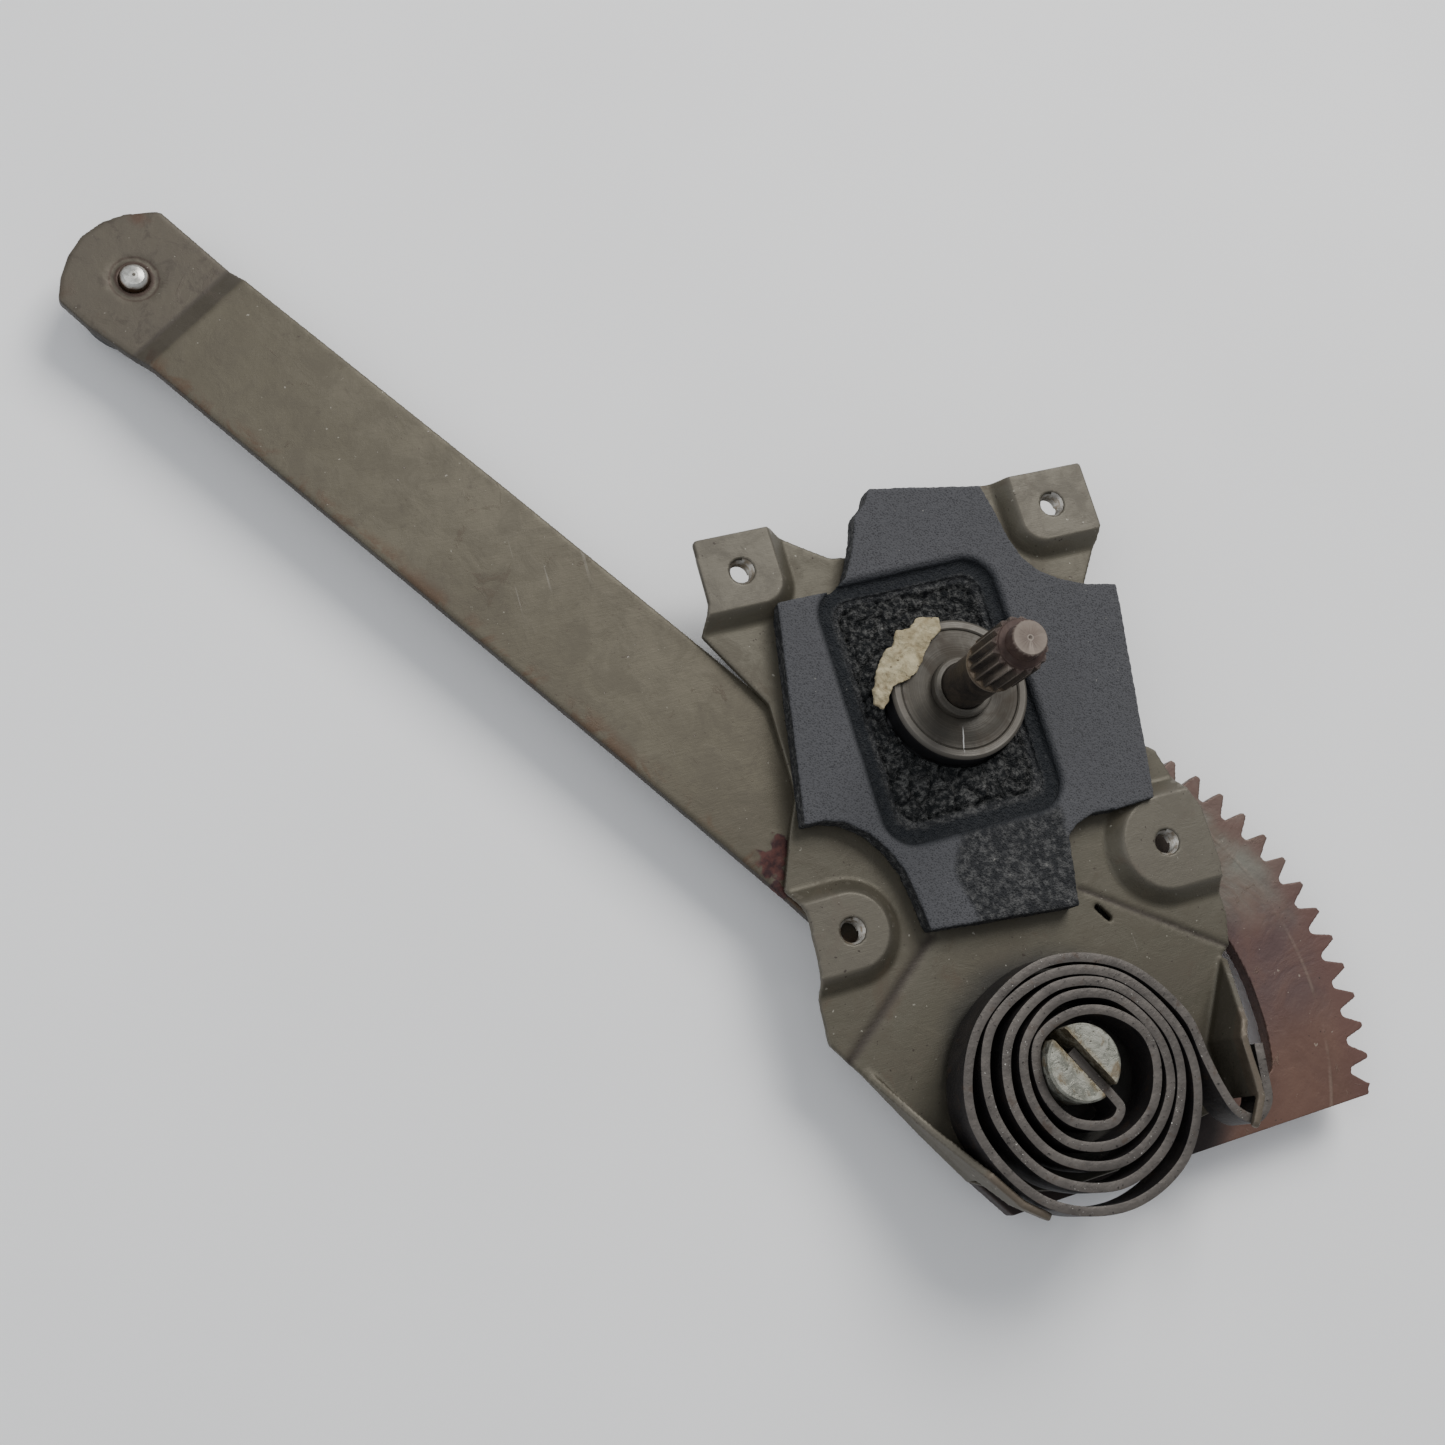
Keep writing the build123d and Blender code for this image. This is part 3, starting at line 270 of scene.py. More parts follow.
steel = pressed_steel()
plate = cad_copy("base_plate", "pressed_plate")
for x in (-PAD_X, PAD_X):
    for y in (-PAD_Y, PAD_Y):
        bpy.ops.object.select_all(action="DESELECT")
        bpy.ops.mesh.primitive_cylinder_add(vertices=48, radius=TAP_ROOT_R, depth=0.02, location=(x, y, 0))
        drill = bpy.context.object
        apply_modifier(plate, "BOOLEAN", operation="DIFFERENCE", solver="EXACT", object=drill)
        bpy.data.objects.remove(drill)
rounded(plate, 0.00046, 2, 0.6)
# each bend line is pressed in as a shallow groove, and its share is kept to paint shade along it
crease_shade_marks = plate.data.attributes.new("crease_shade", "FLOAT", "POINT")
for index, vertex in enumerate(plate.data.vertices):
    worst = 0.0
    for start, end, half, deep in BEND_LINES:
        way = Vector(end) - Vector(start)
        run = (vertex.co.xy - Vector(start)).dot(way) / way.length_squared
        off = (vertex.co.xy - Vector(start) - way * run).length / half
        if -0.02 < run < 1.02 and off < 3 and vertex.co.z < PLATE_TOP + 0.002:
            share = math.exp(-off * off)
            vertex.co.z -= deep * share
            worst = max(worst, share)
    crease_shade_marks.data[index].value = worst
dressed(plate, steel)
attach(plate, "base")
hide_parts("base_plate")

# ---- threads in the tapped pads -----------------------------------------------------------
# The pads' holes are drawn down and tapped M6; the cut crests are bright where screws wore them.


def thread_steel():
    material, place = start_finish("cut_thread")
    tone = place.grain(500.0).ramp(0.4, 0.65).mixed((0.46, 0.44, 0.40, 1), (0.24, 0.20, 0.15, 1))
    lay_finish(material, tone, 0.32 + place.grain(300.0) * 0.2, 0.9, place.grain(1500.0), 0.00003)
    return material


cut_thread = thread_steel()
for number, (x, y) in enumerate([(-PAD_X, PAD_Y), (PAD_X, PAD_Y), (-PAD_X, -PAD_Y), (PAD_X, -PAD_Y)]):
    bpy.ops.object.select_all(action="DESELECT")
    bpy.ops.mesh.primitive_circle_add(vertices=3, radius=0.0004, fill_type="NGON")
    thread = bpy.context.object
    thread.name = "tapped_thread_%d" % (number + 1)
    corners = [(TAP_ROOT_R + 0.0001, -0.00048), (TAP_CREST_R, 0.0), (TAP_ROOT_R + 0.0001, 0.00048)]
    for vertex, (radius, level) in zip(thread.data.vertices, corners):
        vertex.co = (radius, 0, level - 0.0048)
    apply_modifier(thread, "SCREW", angle=math.tau * 4.2, screw_offset=THREAD_PITCH * 4.2, steps=150,
                   render_steps=150, axis="Z", use_merge_vertices=True)
    bpy.ops.object.mode_set(mode="EDIT")
    bpy.ops.mesh.select_all(action="SELECT")
    bpy.ops.mesh.remove_doubles(threshold=0.000001)
    bpy.ops.mesh.fill_holes(sides=3)
    bpy.ops.mesh.normals_make_consistent(inside=False)
    bpy.ops.transform.translate(value=(x, y, 0))
    bpy.ops.object.mode_set(mode="OBJECT")
    dressed(thread, cut_thread)
    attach(thread, "base")

# ---- lift arm -----------------------------------------------------------------------------
# One 3 mm steel strip, wide at the pivot, set down by 2 mm near the stud so that the roller
# lines up with the glass channel. Rolled surface, brown along the lower edge.


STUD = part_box("roller_stud")
STUD_X = (STUD[0][0] + STUD[1][0]) / 2
STUD_Y = (STUD[0][1] + STUD[1][1]) / 2
ARM_WAY = Vector((STUD_X - PIVOT_X, STUD_Y - PIVOT_Y)).normalized()
STEP_RUN = 0.2565
EDGE_START = 0.0083
EDGE_SLOPE = 0.0205
CORNER = (0.2815, -0.0120)
RUST_SPOTS = [(-0.0485, -0.0195, 0.0030), (-0.0522, -0.0232, 0.0042), (-0.0520, -0.0290, 0.0026)]


def arm_steel():
    material, place = start_finish("arm_steel")
    x = place.part(0)
    y = place.part(1)
    side = (x - PIVOT_X) * (-ARM_WAY.y) + (y - PIVOT_Y) * ARM_WAY.x
    run = (x - PIVOT_X) * ARM_WAY.x + (y - PIVOT_Y) * ARM_WAY.y
    cloud = place.grain(24.0, 6.0, 0.65, 0.3)
    film = place.grain(130.0, 8.0, 0.68, 0.5).ramp(0.40, 0.68)
    bloom = place.grain(85.0, 7.0, 0.72, 1.2).ramp(0.61, 0.70)
    along = place.moved(turn=(0, 0, math.radians(-34)), scale=(1, 12, 1)).grain(240.0, 3.0, 0.6)
    # how far past the strip's lower edge, which runs outwards from the pivot to the end
    margin = side - run * EDGE_SLOPE - EDGE_START
    patchy = place.grain(75.0, 6.0, 0.7, 0.8).ramp(0.46, 0.60)
    fringe = (margin + place.grain(90.0, 6.0, 0.7) * 0.008).ramp(-0.0010, 0.0035) * patchy
    past = run.ramp(STEP_RUN + 0.0010, STEP_RUN + 0.0025)
    # painted shade on the slope of the step
    step_shade = run.ramp(STEP_RUN - 0.0026, STEP_RUN - 0.0016)
    step_shade = step_shade * run.ramp(STEP_RUN + 0.0022, STEP_RUN + 0.0030, 1.0, 0.0)
    corner_x = PIVOT_X + ARM_WAY.x * CORNER[0] - ARM_WAY.y * CORNER[1]
    corner_y = PIVOT_Y + ARM_WAY.y * CORNER[0] + ARM_WAY.x * CORNER[1]
    corner = place.around(corner_x, corner_y) + place.grain(160.0, 6.0, 0.7) * 0.008
    corner = corner.ramp(0.0045, 0.0072, 1.0, 0.0)
    speck = place.grain(800.0, 2.0, 0.5).ramp(0.69, 0.74) * place.grain(40.0).ramp(0.42, 0.6)
    tone = cloud.ramp(0.3, 0.7).mixed((0.078, 0.067, 0.045, 1), (0.105, 0.092, 0.064, 1))
    tone = run.ramp(0.12, 0.06, 0.0, 0.25).mixed(tone, (0.056, 0.050, 0.036, 1))
    tone = (film * 0.45).mixed(tone, (0.088, 0.074, 0.050, 1))
    tone = place.grain(420.0, 5.0, 0.7).ramp(0.55, 0.70, 0.0, 0.35).mixed(tone, (0.058, 0.047, 0.033, 1))
    tone = (bloom * 0.4).mixed(tone, (0.078, 0.050, 0.028, 1))
    tone = (fringe * 0.75).mixed(tone, (0.075, 0.040, 0.020, 1))
    tone = (past * 0.55).mixed(tone, (0.082, 0.068, 0.053, 1))
    blot = past * place.grain(210.0, 6.0, 0.7, 0.8).ramp(0.52, 0.66)
    tone = (blot * 0.5).mixed(tone, (0.046, 0.034, 0.026, 1))
    tone = (corner * 0.75).mixed(tone, (0.080, 0.042, 0.026, 1))
    tone = (step_shade * 0.42).mixed(tone, (0.040, 0.032, 0.029, 1))
    reach = place.around(STUD_X, STUD_Y) + place.grain(500.0) * 0.0006 - 0.0003
    dark = reach.ramp(0.0030, 0.0034) * reach.ramp(0.0040, 0.0046, 1.0, 0.0)
    fine = reach.ramp(0.0050, 0.0053) * reach.ramp(0.0054, 0.0058, 1.0, 0.0)
    tone = (dark * 0.85 + fine * 0.5).mixed(tone, (0.040, 0.020, 0.013, 1))
    # painted shade on the faces that do not look upward
    side_face_shade = place.node("ShaderNodeNewGeometry", {}, {}, "Normal").part(2).ramp(0.25, 0.75, 1.0, 0.0)
    tone = (side_face_shade * 0.65).mixed(tone, (0.020, 0.018, 0.017, 1))
    rust = place.node("ShaderNodeAttribute", {"attribute_name": "rust"}, {}, 2)
    red = place.grain(500.0, 4.0).ramp(0.35, 0.65).mixed((0.030, 0.010, 0.011, 1), (0.085, 0.030, 0.024, 1))
    tone = rust.ramp(0.25, 0.5).mixed(tone, red)
    tone = (speck * 0.8).mixed(tone, (0.040, 0.024, 0.016, 1))
    tone = (place.grain(800.0, 2.0, 0.5).ramp(0.73, 0.77) * 0.4).mixed(tone, (0.42, 0.40, 0.34, 1))
    tone = (scratches(place, 20, 0.77, 30.0) * 0.2).mixed(tone, (0.34, 0.32, 0.29, 1))
    edge = worn_edge(place)
    tone = (edge * 0.3).mixed(tone, (0.17, 0.15, 0.12, 1))
    rough = 0.47 + film * 0.12 + bloom * 0.1 + rust * 0.3 - edge * 0.1 + along * 0.05
    height = along * 0.25 + place.grain(380.0, 4.0) * 0.5 + film * 0.3 + bloom * 0.3 + rust * 0.8
    lay_finish(material, tone, rough, 0.45 - film * 0.15 - bloom * 0.2 - rust * 0.1, height, 0.00010)
    return material


arm = cad_copy("lift_arm", "arm_strip")
rounded(arm, 0.00052, 2, 0.5)
rust_mark = arm.data.attributes.new("rust", "FLOAT", "POINT")
ARM_TOP = -0.006
facing = [vertex.normal.copy() for vertex in arm.data.vertices]
for index, vertex in enumerate(arm.data.vertices):
    spot = vertex.co.xy
    reach = (spot - Vector((STUD_X, STUD_Y))).length
    if facing[index].z > 0.5:
        vertex.co.z -= 0.00035 * math.exp(-((reach - 0.0049) / 0.0006) ** 2)
    rust = 0.0
    for x, y, size in RUST_SPOTS:
        ragged = noise.fractal(vertex.co * 600.0, 0.6, 2.2, 4) * 0.0016
        rust = max(rust, 1.2 - ((spot - Vector((x, y))).length + ragged) / size)
    rust = min(max(rust, 0.0), 1.0)
    rust_mark.data[index].value = rust
    if vertex.co.z > ARM_TOP - 0.0006:
        vertex.co.z += rust * (0.00018 + noise.noise(vertex.co * 1500.0) * 0.00014)
dressed(arm, arm_steel())
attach(arm, "arm")
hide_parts("lift_arm")

# ---- toothed sector -----------------------------------------------------------------------
# Blanked from 4 mm plate, teeth and all, and riveted to the arm. Away from the base plate it
# wears a reddish brown rust film; a faint coined arc runs round inside the teeth.


def sector_steel():
    material, place = start_finish("sector_steel")
    reach = place.around(PIVOT_X, PIVOT_Y)
    level = place.part(1) - PIVOT_Y
    cloud = place.grain(30.0, 6.0, 0.6, 0.8)
    lift = level + cloud * 0.030 - 0.015
    upper = lift.ramp(0.012, 0.034)
    lower = lift.ramp(0.004, -0.012)
    red = place.grain(60.0, 7.0, 0.65, 0.8).ramp(0.42, 0.64)
    toothed = (reach + place.grain(80.0, 5.0, 0.6) * 0.010).ramp(0.0795, 0.0845)
    scale = place.grain(110.0, 6.0, 0.7, 1.5).ramp(0.60, 0.68)
    grey = cloud.ramp(0.3, 0.7).mixed((0.118, 0.112, 0.092, 1), (0.165, 0.158, 0.132, 1))
    violet = cloud.ramp(0.35, 0.7).mixed((0.070, 0.038, 0.036, 1), (0.100, 0.061, 0.054, 1))
    rust = cloud.ramp(0.35, 0.7).mixed((0.094, 0.047, 0.034, 1), (0.135, 0.072, 0.052, 1))
    tone = upper.mixed(violet, grey)
    tone = lower.mixed(tone, rust)
    tone = (red * 0.4).mixed(tone, (0.130, 0.062, 0.040, 1))
    tone = (toothed * 0.7).mixed(tone, (0.105, 0.050, 0.040, 1))
    tone = (scale * 0.35).mixed(tone, (0.19, 0.14, 0.10, 1))
    tone = (place.grain(750.0, 2.0).ramp(0.70, 0.76) * 0.7).mixed(tone, (0.03, 0.018, 0.015, 1))
    tone = (place.grain(600.0, 2.0).ramp(0.73, 0.77) * 0.5).mixed(tone, (0.36, 0.31, 0.25, 1))
    line = reach.node("ShaderNodeMath", {"operation": "ABSOLUTE"}, {0: reach - 0.0727})
    coined = line.ramp(0.0001, 0.0007, 1.0, 0.0) * place.grain(90.0, 4.0).ramp(0.40, 0.62)
    tone = (coined * 0.35).mixed(tone, (0.22, 0.17, 0.13, 1))
    shade = reach.ramp(0.043, 0.050, 1.0, 0.0)
    tone = (shade * 0.85).mixed(tone, (0.014, 0.013, 0.013, 1))
    edge = worn_edge(place)
    tone = (edge * 0.35).mixed(tone, (0.20, 0.135, 0.100, 1))
    rough = 0.50 + red * 0.12 + scale * 0.1 - edge * 0.08
    height = place.grain(330.0, 5.0, 0.6) + red * 0.5 + scale * 0.6 + coined * 0.8
    lay_finish(material, tone, rough, 0.32 + upper * 0.1 - red * 0.1, height, 0.00013)
    return material


sector = cad_copy("sector_gear", "toothed_sector")
rounded(sector, 0.00036, 1, 0.5)
dressed(sector, sector_steel())
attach(sector, "arm")
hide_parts("sector_gear")

# ---- pivot pin, stud and their small steel -------------------------------------------------
# Turned and zinc plated; the plating has gone chalky white on the faces, brown in the slot.


SLOT_WAY = -62.3


def chalky_zinc():
    material, place = start_finish("chalky_zinc")
    cloud = place.grain(260.0, 6.0, 0.65, 0.6)
    chalk = place.grain(420.0, 6.0, 0.7, 0.8).ramp(0.40, 0.62)
    brown = place.grain(150.0, 5.0, 0.65, 1.2).ramp(0.56, 0.68)
    across = place.moved((-PIVOT_X, -PIVOT_Y, 0)).moved(turn=(0, 0, math.radians(-SLOT_WAY))).part(1)
    beside = across.node("ShaderNodeMath", {"operation": "ABSOLUTE"}, {0: across}) + cloud * 0.002
    slot_stain = beside.ramp(0.0028, 0.0044, 0.8, 0.0)
    tone = cloud.ramp(0.3, 0.7).mixed((0.18, 0.18, 0.148, 1), (0.31, 0.305, 0.258, 1))
    tone = slot_stain.mixed(tone, (0.17, 0.125, 0.058, 1))
    tone = (chalk * 0.5).mixed(tone, (0.38, 0.375, 0.32, 1))
    tone = (brown * 0.75).mixed(tone, (0.13, 0.085, 0.035, 1))
    tone = place.grain(1400.0, 3.0).ramp(0.64, 0.72).mixed(tone, (0.05, 0.04, 0.03, 1))
    rough = 0.36 + chalk * 0.22 + brown * 0.15
    height = place.grain(900.0, 4.0, 0.6) + chalk * 0.7 + brown * 0.5
    lay_finish(material, tone, rough, 0.72 - chalk * 0.35 - brown * 0.3, height, 0.00009)
    return material


zinc = chalky_zinc()
dressed(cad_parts["pivot_pin"], zinc)


def peened_steel():
    material, place = start_finish("peened_stud")
    reach = place.around(STUD_X, STUD_Y)
    cloud = place.grain(700.0, 4.0, 0.6)
    tone = cloud.ramp(0.35, 0.7).mixed((0.46, 0.45, 0.41, 1), (0.66, 0.65, 0.61, 1))
    tone = (reach + cloud * 0.0010).ramp(0.0030, 0.0038).mixed(tone, (0.10, 0.06, 0.035, 1))
    tone = reach.ramp(0.0003, 0.0005, 0.9, 0.0).mixed(tone, (0.05, 0.04, 0.03, 1))
    lay_finish(material, tone, 0.30 + cloud * 0.15, 0.85, place.grain(900.0, 4.0), 0.00005)
    return material


dressed(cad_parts["roller_stud"], peened_steel())


def dark_steel():
    material, place = start_finish("oiled_steel")
    oil = place.grain(140.0, 5.0, 0.6, 0.6).ramp(0.35, 0.7)
    tone = oil.mixed((0.020, 0.019, 0.018, 1), (0.045, 0.039, 0.033, 1))
    tone = place.grain(900.0, 2.0).ramp(0.66, 0.74).mixed(tone, (0.20, 0.16, 0.12, 1))
    lay_finish(material, tone, 0.38 + oil * 0.18, 0.7, place.grain(700.0, 4.0) + oil * 0.5, 0.00008)
    return material


oiled = dark_steel()
for node in ("pivot_bush", "pivot_clip", "driver_cam", "pinion", "roller_sleeve"):
    dressed(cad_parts[node], oiled)


def rivet_steel():
    material, place = start_finish("rivet_steel")
    film = place.grain(220.0, 5.0, 0.6, 0.5).ramp(0.4, 0.7)
    tone = film.mixed((0.17, 0.155, 0.13, 1), (0.10, 0.07, 0.045, 1))
    lay_finish(material, tone, 0.40 + film * 0.2, 0.75 - film * 0.3, place.grain(800.0, 4.0) + film, 0.00006)
    return material


rivets = rivet_steel()
for node in ("arm_rivets", "drum_rivets", "bracket_rivets", "pivot_washer", "pinion_clip"):
    dressed(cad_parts[node], rivets)

# ---- balance spring -----------------------------------------------------------------------
# Five turns of 2 mm strip, hardened and dark with temper scale; cut edges are bare and hold grit.
# The upward edges are painted lighter and the side faces darker: partly bare metal against scale,
# partly painted highlight and painted shade. It winds between the tab on the plate and the slot in the pivot
# pin.


def spring_steel():
    material, place = start_finish("spring_strip")
    up = place.node("ShaderNodeNewGeometry", {}, {}, "Normal").part(2).ramp(0.4, 0.9)
    cloud = place.grain(120.0, 6.0, 0.65, 0.6)
    grit = place.grain(1500.0, 3.0, 0.6).ramp(0.62, 0.68) * place.grain(110.0).ramp(0.48, 0.60)
    scaled_shaded_face = cloud.ramp(0.3, 0.7).mixed((0.014, 0.013, 0.015, 1), (0.034, 0.029, 0.027, 1))
    bare_lit_edge = cloud.ramp(0.3, 0.7).mixed((0.072, 0.063, 0.056, 1), (0.118, 0.104, 0.092, 1))
    # upward edges: partly bare cut metal, partly painted highlight; side faces: partly dark scale, partly
    # painted shade
    tone = (up * 0.95).mixed(scaled_shaded_face, bare_lit_edge)
    tone = (place.grain(300.0, 5.0).ramp(0.58, 0.70) * 0.5).mixed(tone, (0.060, 0.036, 0.022, 1))
    tone = (grit * up).mixed(tone, (0.50, 0.48, 0.44, 1))
    tone = place.grain(1000.0, 3.0, 0.6).ramp(0.60, 0.70).mixed(tone, (0.022, 0.018, 0.016, 1))
    lines = place.moved(scale=(1, 1, 0.1)).grain(700.0, 4.0, 0.7)
    rough = 0.46 + cloud * 0.2 - up * 0.05
    height = lines * 0.8 + grit * 1.5 + place.grain(500.0, 4.0) * 1.2
    lay_finish(material, tone, rough, 0.42, height, 0.00014)
    return material


spring = cad_copy("counterbalance_spring", "balance_spring")
bpy.ops.object.mode_set(mode="EDIT")
bpy.ops.mesh.select_all(action="SELECT")
bpy.ops.mesh.dissolve_limited(angle_limit=math.radians(0.6))
bpy.ops.object.mode_set(mode="OBJECT")
apply_modifier(spring, "BEVEL", width=0.00028, segments=2, limit_method="ANGLE", angle_limit=math.radians(50))
apply_modifier(spring, "TRIANGULATE")
picked(spring)
bpy.ops.object.shade_smooth_by_angle(angle=math.radians(35))
dressed(spring, spring_steel())
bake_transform(spring, "base", "arm", start=(PIVOT_X + 0.03, PIVOT_Y, 0), end=(PIVOT_X, PIVOT_Y, 0))
# each place on the strip turns by its share of the way from the tab to the pin's slot
links = [[] for _ in spring.data.vertices]
for edge in spring.data.edges:
    one, two = edge.vertices
    span = (spring.data.vertices[one].co - spring.data.vertices[two].co).length
    links[one].append((two, span))
    links[two].append((one, span))
inner_end = Vector((PIVOT_X - 0.0009, PIVOT_Y + 0.0032, 0.005))
first = min(range(len(links)), key=lambda i: (spring.data.vertices[i].co - inner_end).length)
travelled = {first: 0.0}
waiting = [(0.0, first)]
while waiting:
    far, here = heapq.heappop(waiting)
    if far > travelled[here]:
        continue
    for there, span in links[here]:
        if far + span < travelled.get(there, math.inf):
            travelled[there] = far + span
            heapq.heappush(waiting, (far + span, there))
whole = max(travelled.values())
IN_SLOT = 0.024
ON_TAB = 0.075
shares = spring.data.attributes["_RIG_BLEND"].data
for index, share in enumerate(shares):
    part_way = (travelled[index] - IN_SLOT) / (whole - IN_SLOT - ON_TAB)
    share.value = 1.0 - min(max(part_way, 0.0), 1.0)
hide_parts("counterbalance_spring")

# ---- crank spindle ------------------------------------------------------------------------
# Forged and rolled: dark, oily shank, splines for the handle, and a plain tip gone rust red.


def spindle_steel():
    material, place = start_finish("spindle_steel")
    level = place.part(2)
    tip = (level + place.grain(200.0) * 0.004).ramp(0.0395, 0.0435)
    collar = level.ramp(0.0232, 0.0242) * (1 - level.ramp(0.0258, 0.0272))
    oil = place.grain(170.0, 6.0, 0.6, 0.8).ramp(0.35, 0.7)
    turned = place.moved(scale=(1, 1, 30)).grain(60.0, 3.0)
    tone = oil.mixed((0.034, 0.029, 0.026, 1), (0.072, 0.056, 0.042, 1))
    tone = (collar * 0.85).mixed(tone, (0.165, 0.125, 0.085, 1))
    rust = place.grain(330.0, 5.0, 0.6, 0.5).ramp(0.35, 0.65)
    rust = rust.mixed((0.036, 0.016, 0.012, 1), (0.066, 0.038, 0.029, 1))
    tone = (tip * 0.9).mixed(tone, rust)
    edge = worn_edge(place)
    punch = place.around(SPINDLE_X, SPINDLE_Y)
    tone = punch.ramp(0.0006, 0.0008, 0.7, 0.0).mixed(tone, (0.30, 0.26, 0.22, 1))
    tone = (edge * 0.6).mixed(tone, (0.34, 0.29, 0.24, 1))
    rough = 0.40 + oil * 0.15 + tip * 0.18
    height = place.grain(800.0, 4.0) + turned * 0.8 + oil * 0.4
    lay_finish(material, tone, rough, 0.5 - tip * 0.2, height, 0.00008)
    return material


dressed(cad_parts["crank_spindle"], spindle_steel())

# ---- brake drum, cover and bush -----------------------------------------------------------
# Deep drawn cup with its rim rolled over a cover, turned marks on top and a bright worn rim.


SCORE_WAY = 75


def drum_steel():
    material, place = start_finish("drum_steel")
    reach = place.around(SPINDLE_X, SPINDLE_Y)
    settings = {"noise_dimensions": "1D"}
    rings = reach.node("ShaderNodeTexNoise", settings, {"W": reach * 900.0, "Scale": 3.0, "Detail": 4.0})
    cloud = place.grain(70.0, 6.0, 0.6, 0.5)
    film = place.grain(110.0, 6.0, 0.6, 0.8).ramp(0.45, 0.68)
    tone = cloud.ramp(0.3, 0.7).mixed((0.036, 0.031, 0.023, 1), (0.062, 0.054, 0.041, 1))
    tone = (film * 0.5).mixed(tone, (0.045, 0.032, 0.021, 1))
    tone = (rings.ramp(0.5, 0.75) * 0.25).mixed(tone, (0.12, 0.105, 0.085, 1))
    # painted shade on the cup's outer wall, below the rolled rim
    drum_wall_shade = reach.ramp(0.0160, 0.0164) * place.part(2).ramp(0.0040, 0.0046, 1.0, 0.0)
    tone = (drum_wall_shade * 0.95).mixed(tone, (0.010, 0.010, 0.012, 1))
    # one radial score, as a long thin spot beside the shaft
    score = place.moved((0.0032, 0.0084, 0)).moved(turn=(0, 0, math.radians(-SCORE_WAY)))
    score = score.moved(scale=(0.05, 1, 0)).around(0.0, 0.0)
    tone = score.ramp(0.00010, 0.00018, 0.8, 0.0).mixed(tone, (0.70, 0.69, 0.66, 1))
    tone = (place.grain(1000.0, 2.0).ramp(0.70, 0.76) * 0.8).mixed(tone, (0.05, 0.04, 0.03, 1))
    edge = worn_edge(place)
    tone = (edge * 0.5).mixed(tone, (0.26, 0.24, 0.21, 1))
    rough = 0.42 + film * 0.2 - edge * 0.1
    height = rings * 0.7 + place.grain(500.0, 4.0) * 0.6 + film * 0.4
    lay_finish(material, tone, rough + 0.10, 0.25, height, 0.00007)
    return material


def crisp(node, name, width, material):
    # a turned piece: flat faces stay flat, with a narrow bright round on each edge
    obj = cad_copy(node, name)
    bpy.ops.object.mode_set(mode="EDIT")
    bpy.ops.mesh.select_all(action="SELECT")
    bpy.ops.mesh.dissolve_limited(angle_limit=math.radians(0.6))
    bpy.ops.object.mode_set(mode="OBJECT")
    apply_modifier(obj, "BEVEL", width=width, segments=2, limit_method="ANGLE", angle_limit=math.radians(50))
    apply_modifier(obj, "TRIANGULATE")
    picked(obj)
    bpy.ops.object.shade_smooth_by_angle(angle=math.radians(32))
    dressed(obj, material)
    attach(obj, "base")
    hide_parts(node)


drum_finish = drum_steel()
crisp("brake_drum", "drum_cup", 0.0002, drum_finish)
crisp("drum_cover", "drum_lid", 0.0001, drum_finish)
crisp("spindle_bush", "shaft_bush", 0.00015, drum_finish)

# ---- foam seal ----------------------------------------------------------------------------
# Open cell polyether pad glued to the plate. A rib of the door pressed a groove into it, and
# the thin middle round the drum has torn and crumbled.
GROOVE_MIDDLE = Vector((-0.0039, 0.0029))


def foam_grain():
    material, place = start_finish("charcoal_foam")
    cells = place.pits(2300.0)
    fine = place.grain(1200.0, 3.0, 0.6)
    torn = place.node("ShaderNodeAttribute", {"attribute_name": "torn"}, {}, 2)
    pressed = place.node("ShaderNodeAttribute", {"attribute_name": "pressed"}, {}, 2)
    open_skin = place.node("ShaderNodeAttribute", {"attribute_name": "open_skin"}, {}, 2)
    cloud = place.grain(60.0, 4.0, 0.6)
    tone = (cells * 0.6 + fine * 0.4).ramp(0.15, 0.55)
    tone = tone.mixed((0.022, 0.022, 0.024, 1), (0.080, 0.080, 0.085, 1))
    tone = (cloud.ramp(0.35, 0.7) * 0.3).mixed(tone, (0.066, 0.066, 0.069, 1))
    crumb = place.grain(700.0, 6.0, 0.7).ramp(0.42, 0.66)
    crumb = crumb.mixed((0.008, 0.009, 0.010, 1), (0.095, 0.094, 0.090, 1))
    rough_skin = torn + open_skin * 0.75
    tone = rough_skin.mixed(tone, crumb)
    # painted shade in the pressed groove
    tone = (pressed * 0.85).mixed(tone, (0.009, 0.011, 0.014, 1))
    tone = (place.grain(700.0, 2.0).ramp(0.74, 0.78) * 0.5).mixed(tone, (0.30, 0.29, 0.26, 1))
    height = cells * (0.5 + rough_skin * 0.8) + fine * (0.6 + rough_skin)
    lay_finish(material, tone, 0.92 - pressed * 0.2, 0.0, height, 0.00035, 0.25)
    return material


def box_reach(spot, half_x, half_y, corner):
    # distance outside a rectangle with round corners, below nought inside it
    over = Vector((abs(spot.x) - half_x + corner, abs(spot.y) - half_y + corner))
    past = Vector((max(over.x, 0.0), max(over.y, 0.0))).length
    return past + min(max(over.x, over.y), 0.0) - corner


def eased(value, low, high):
    share = min(max((value - low) / (high - low), 0.0), 1.0)
    return share * share * (3 - 2 * share)


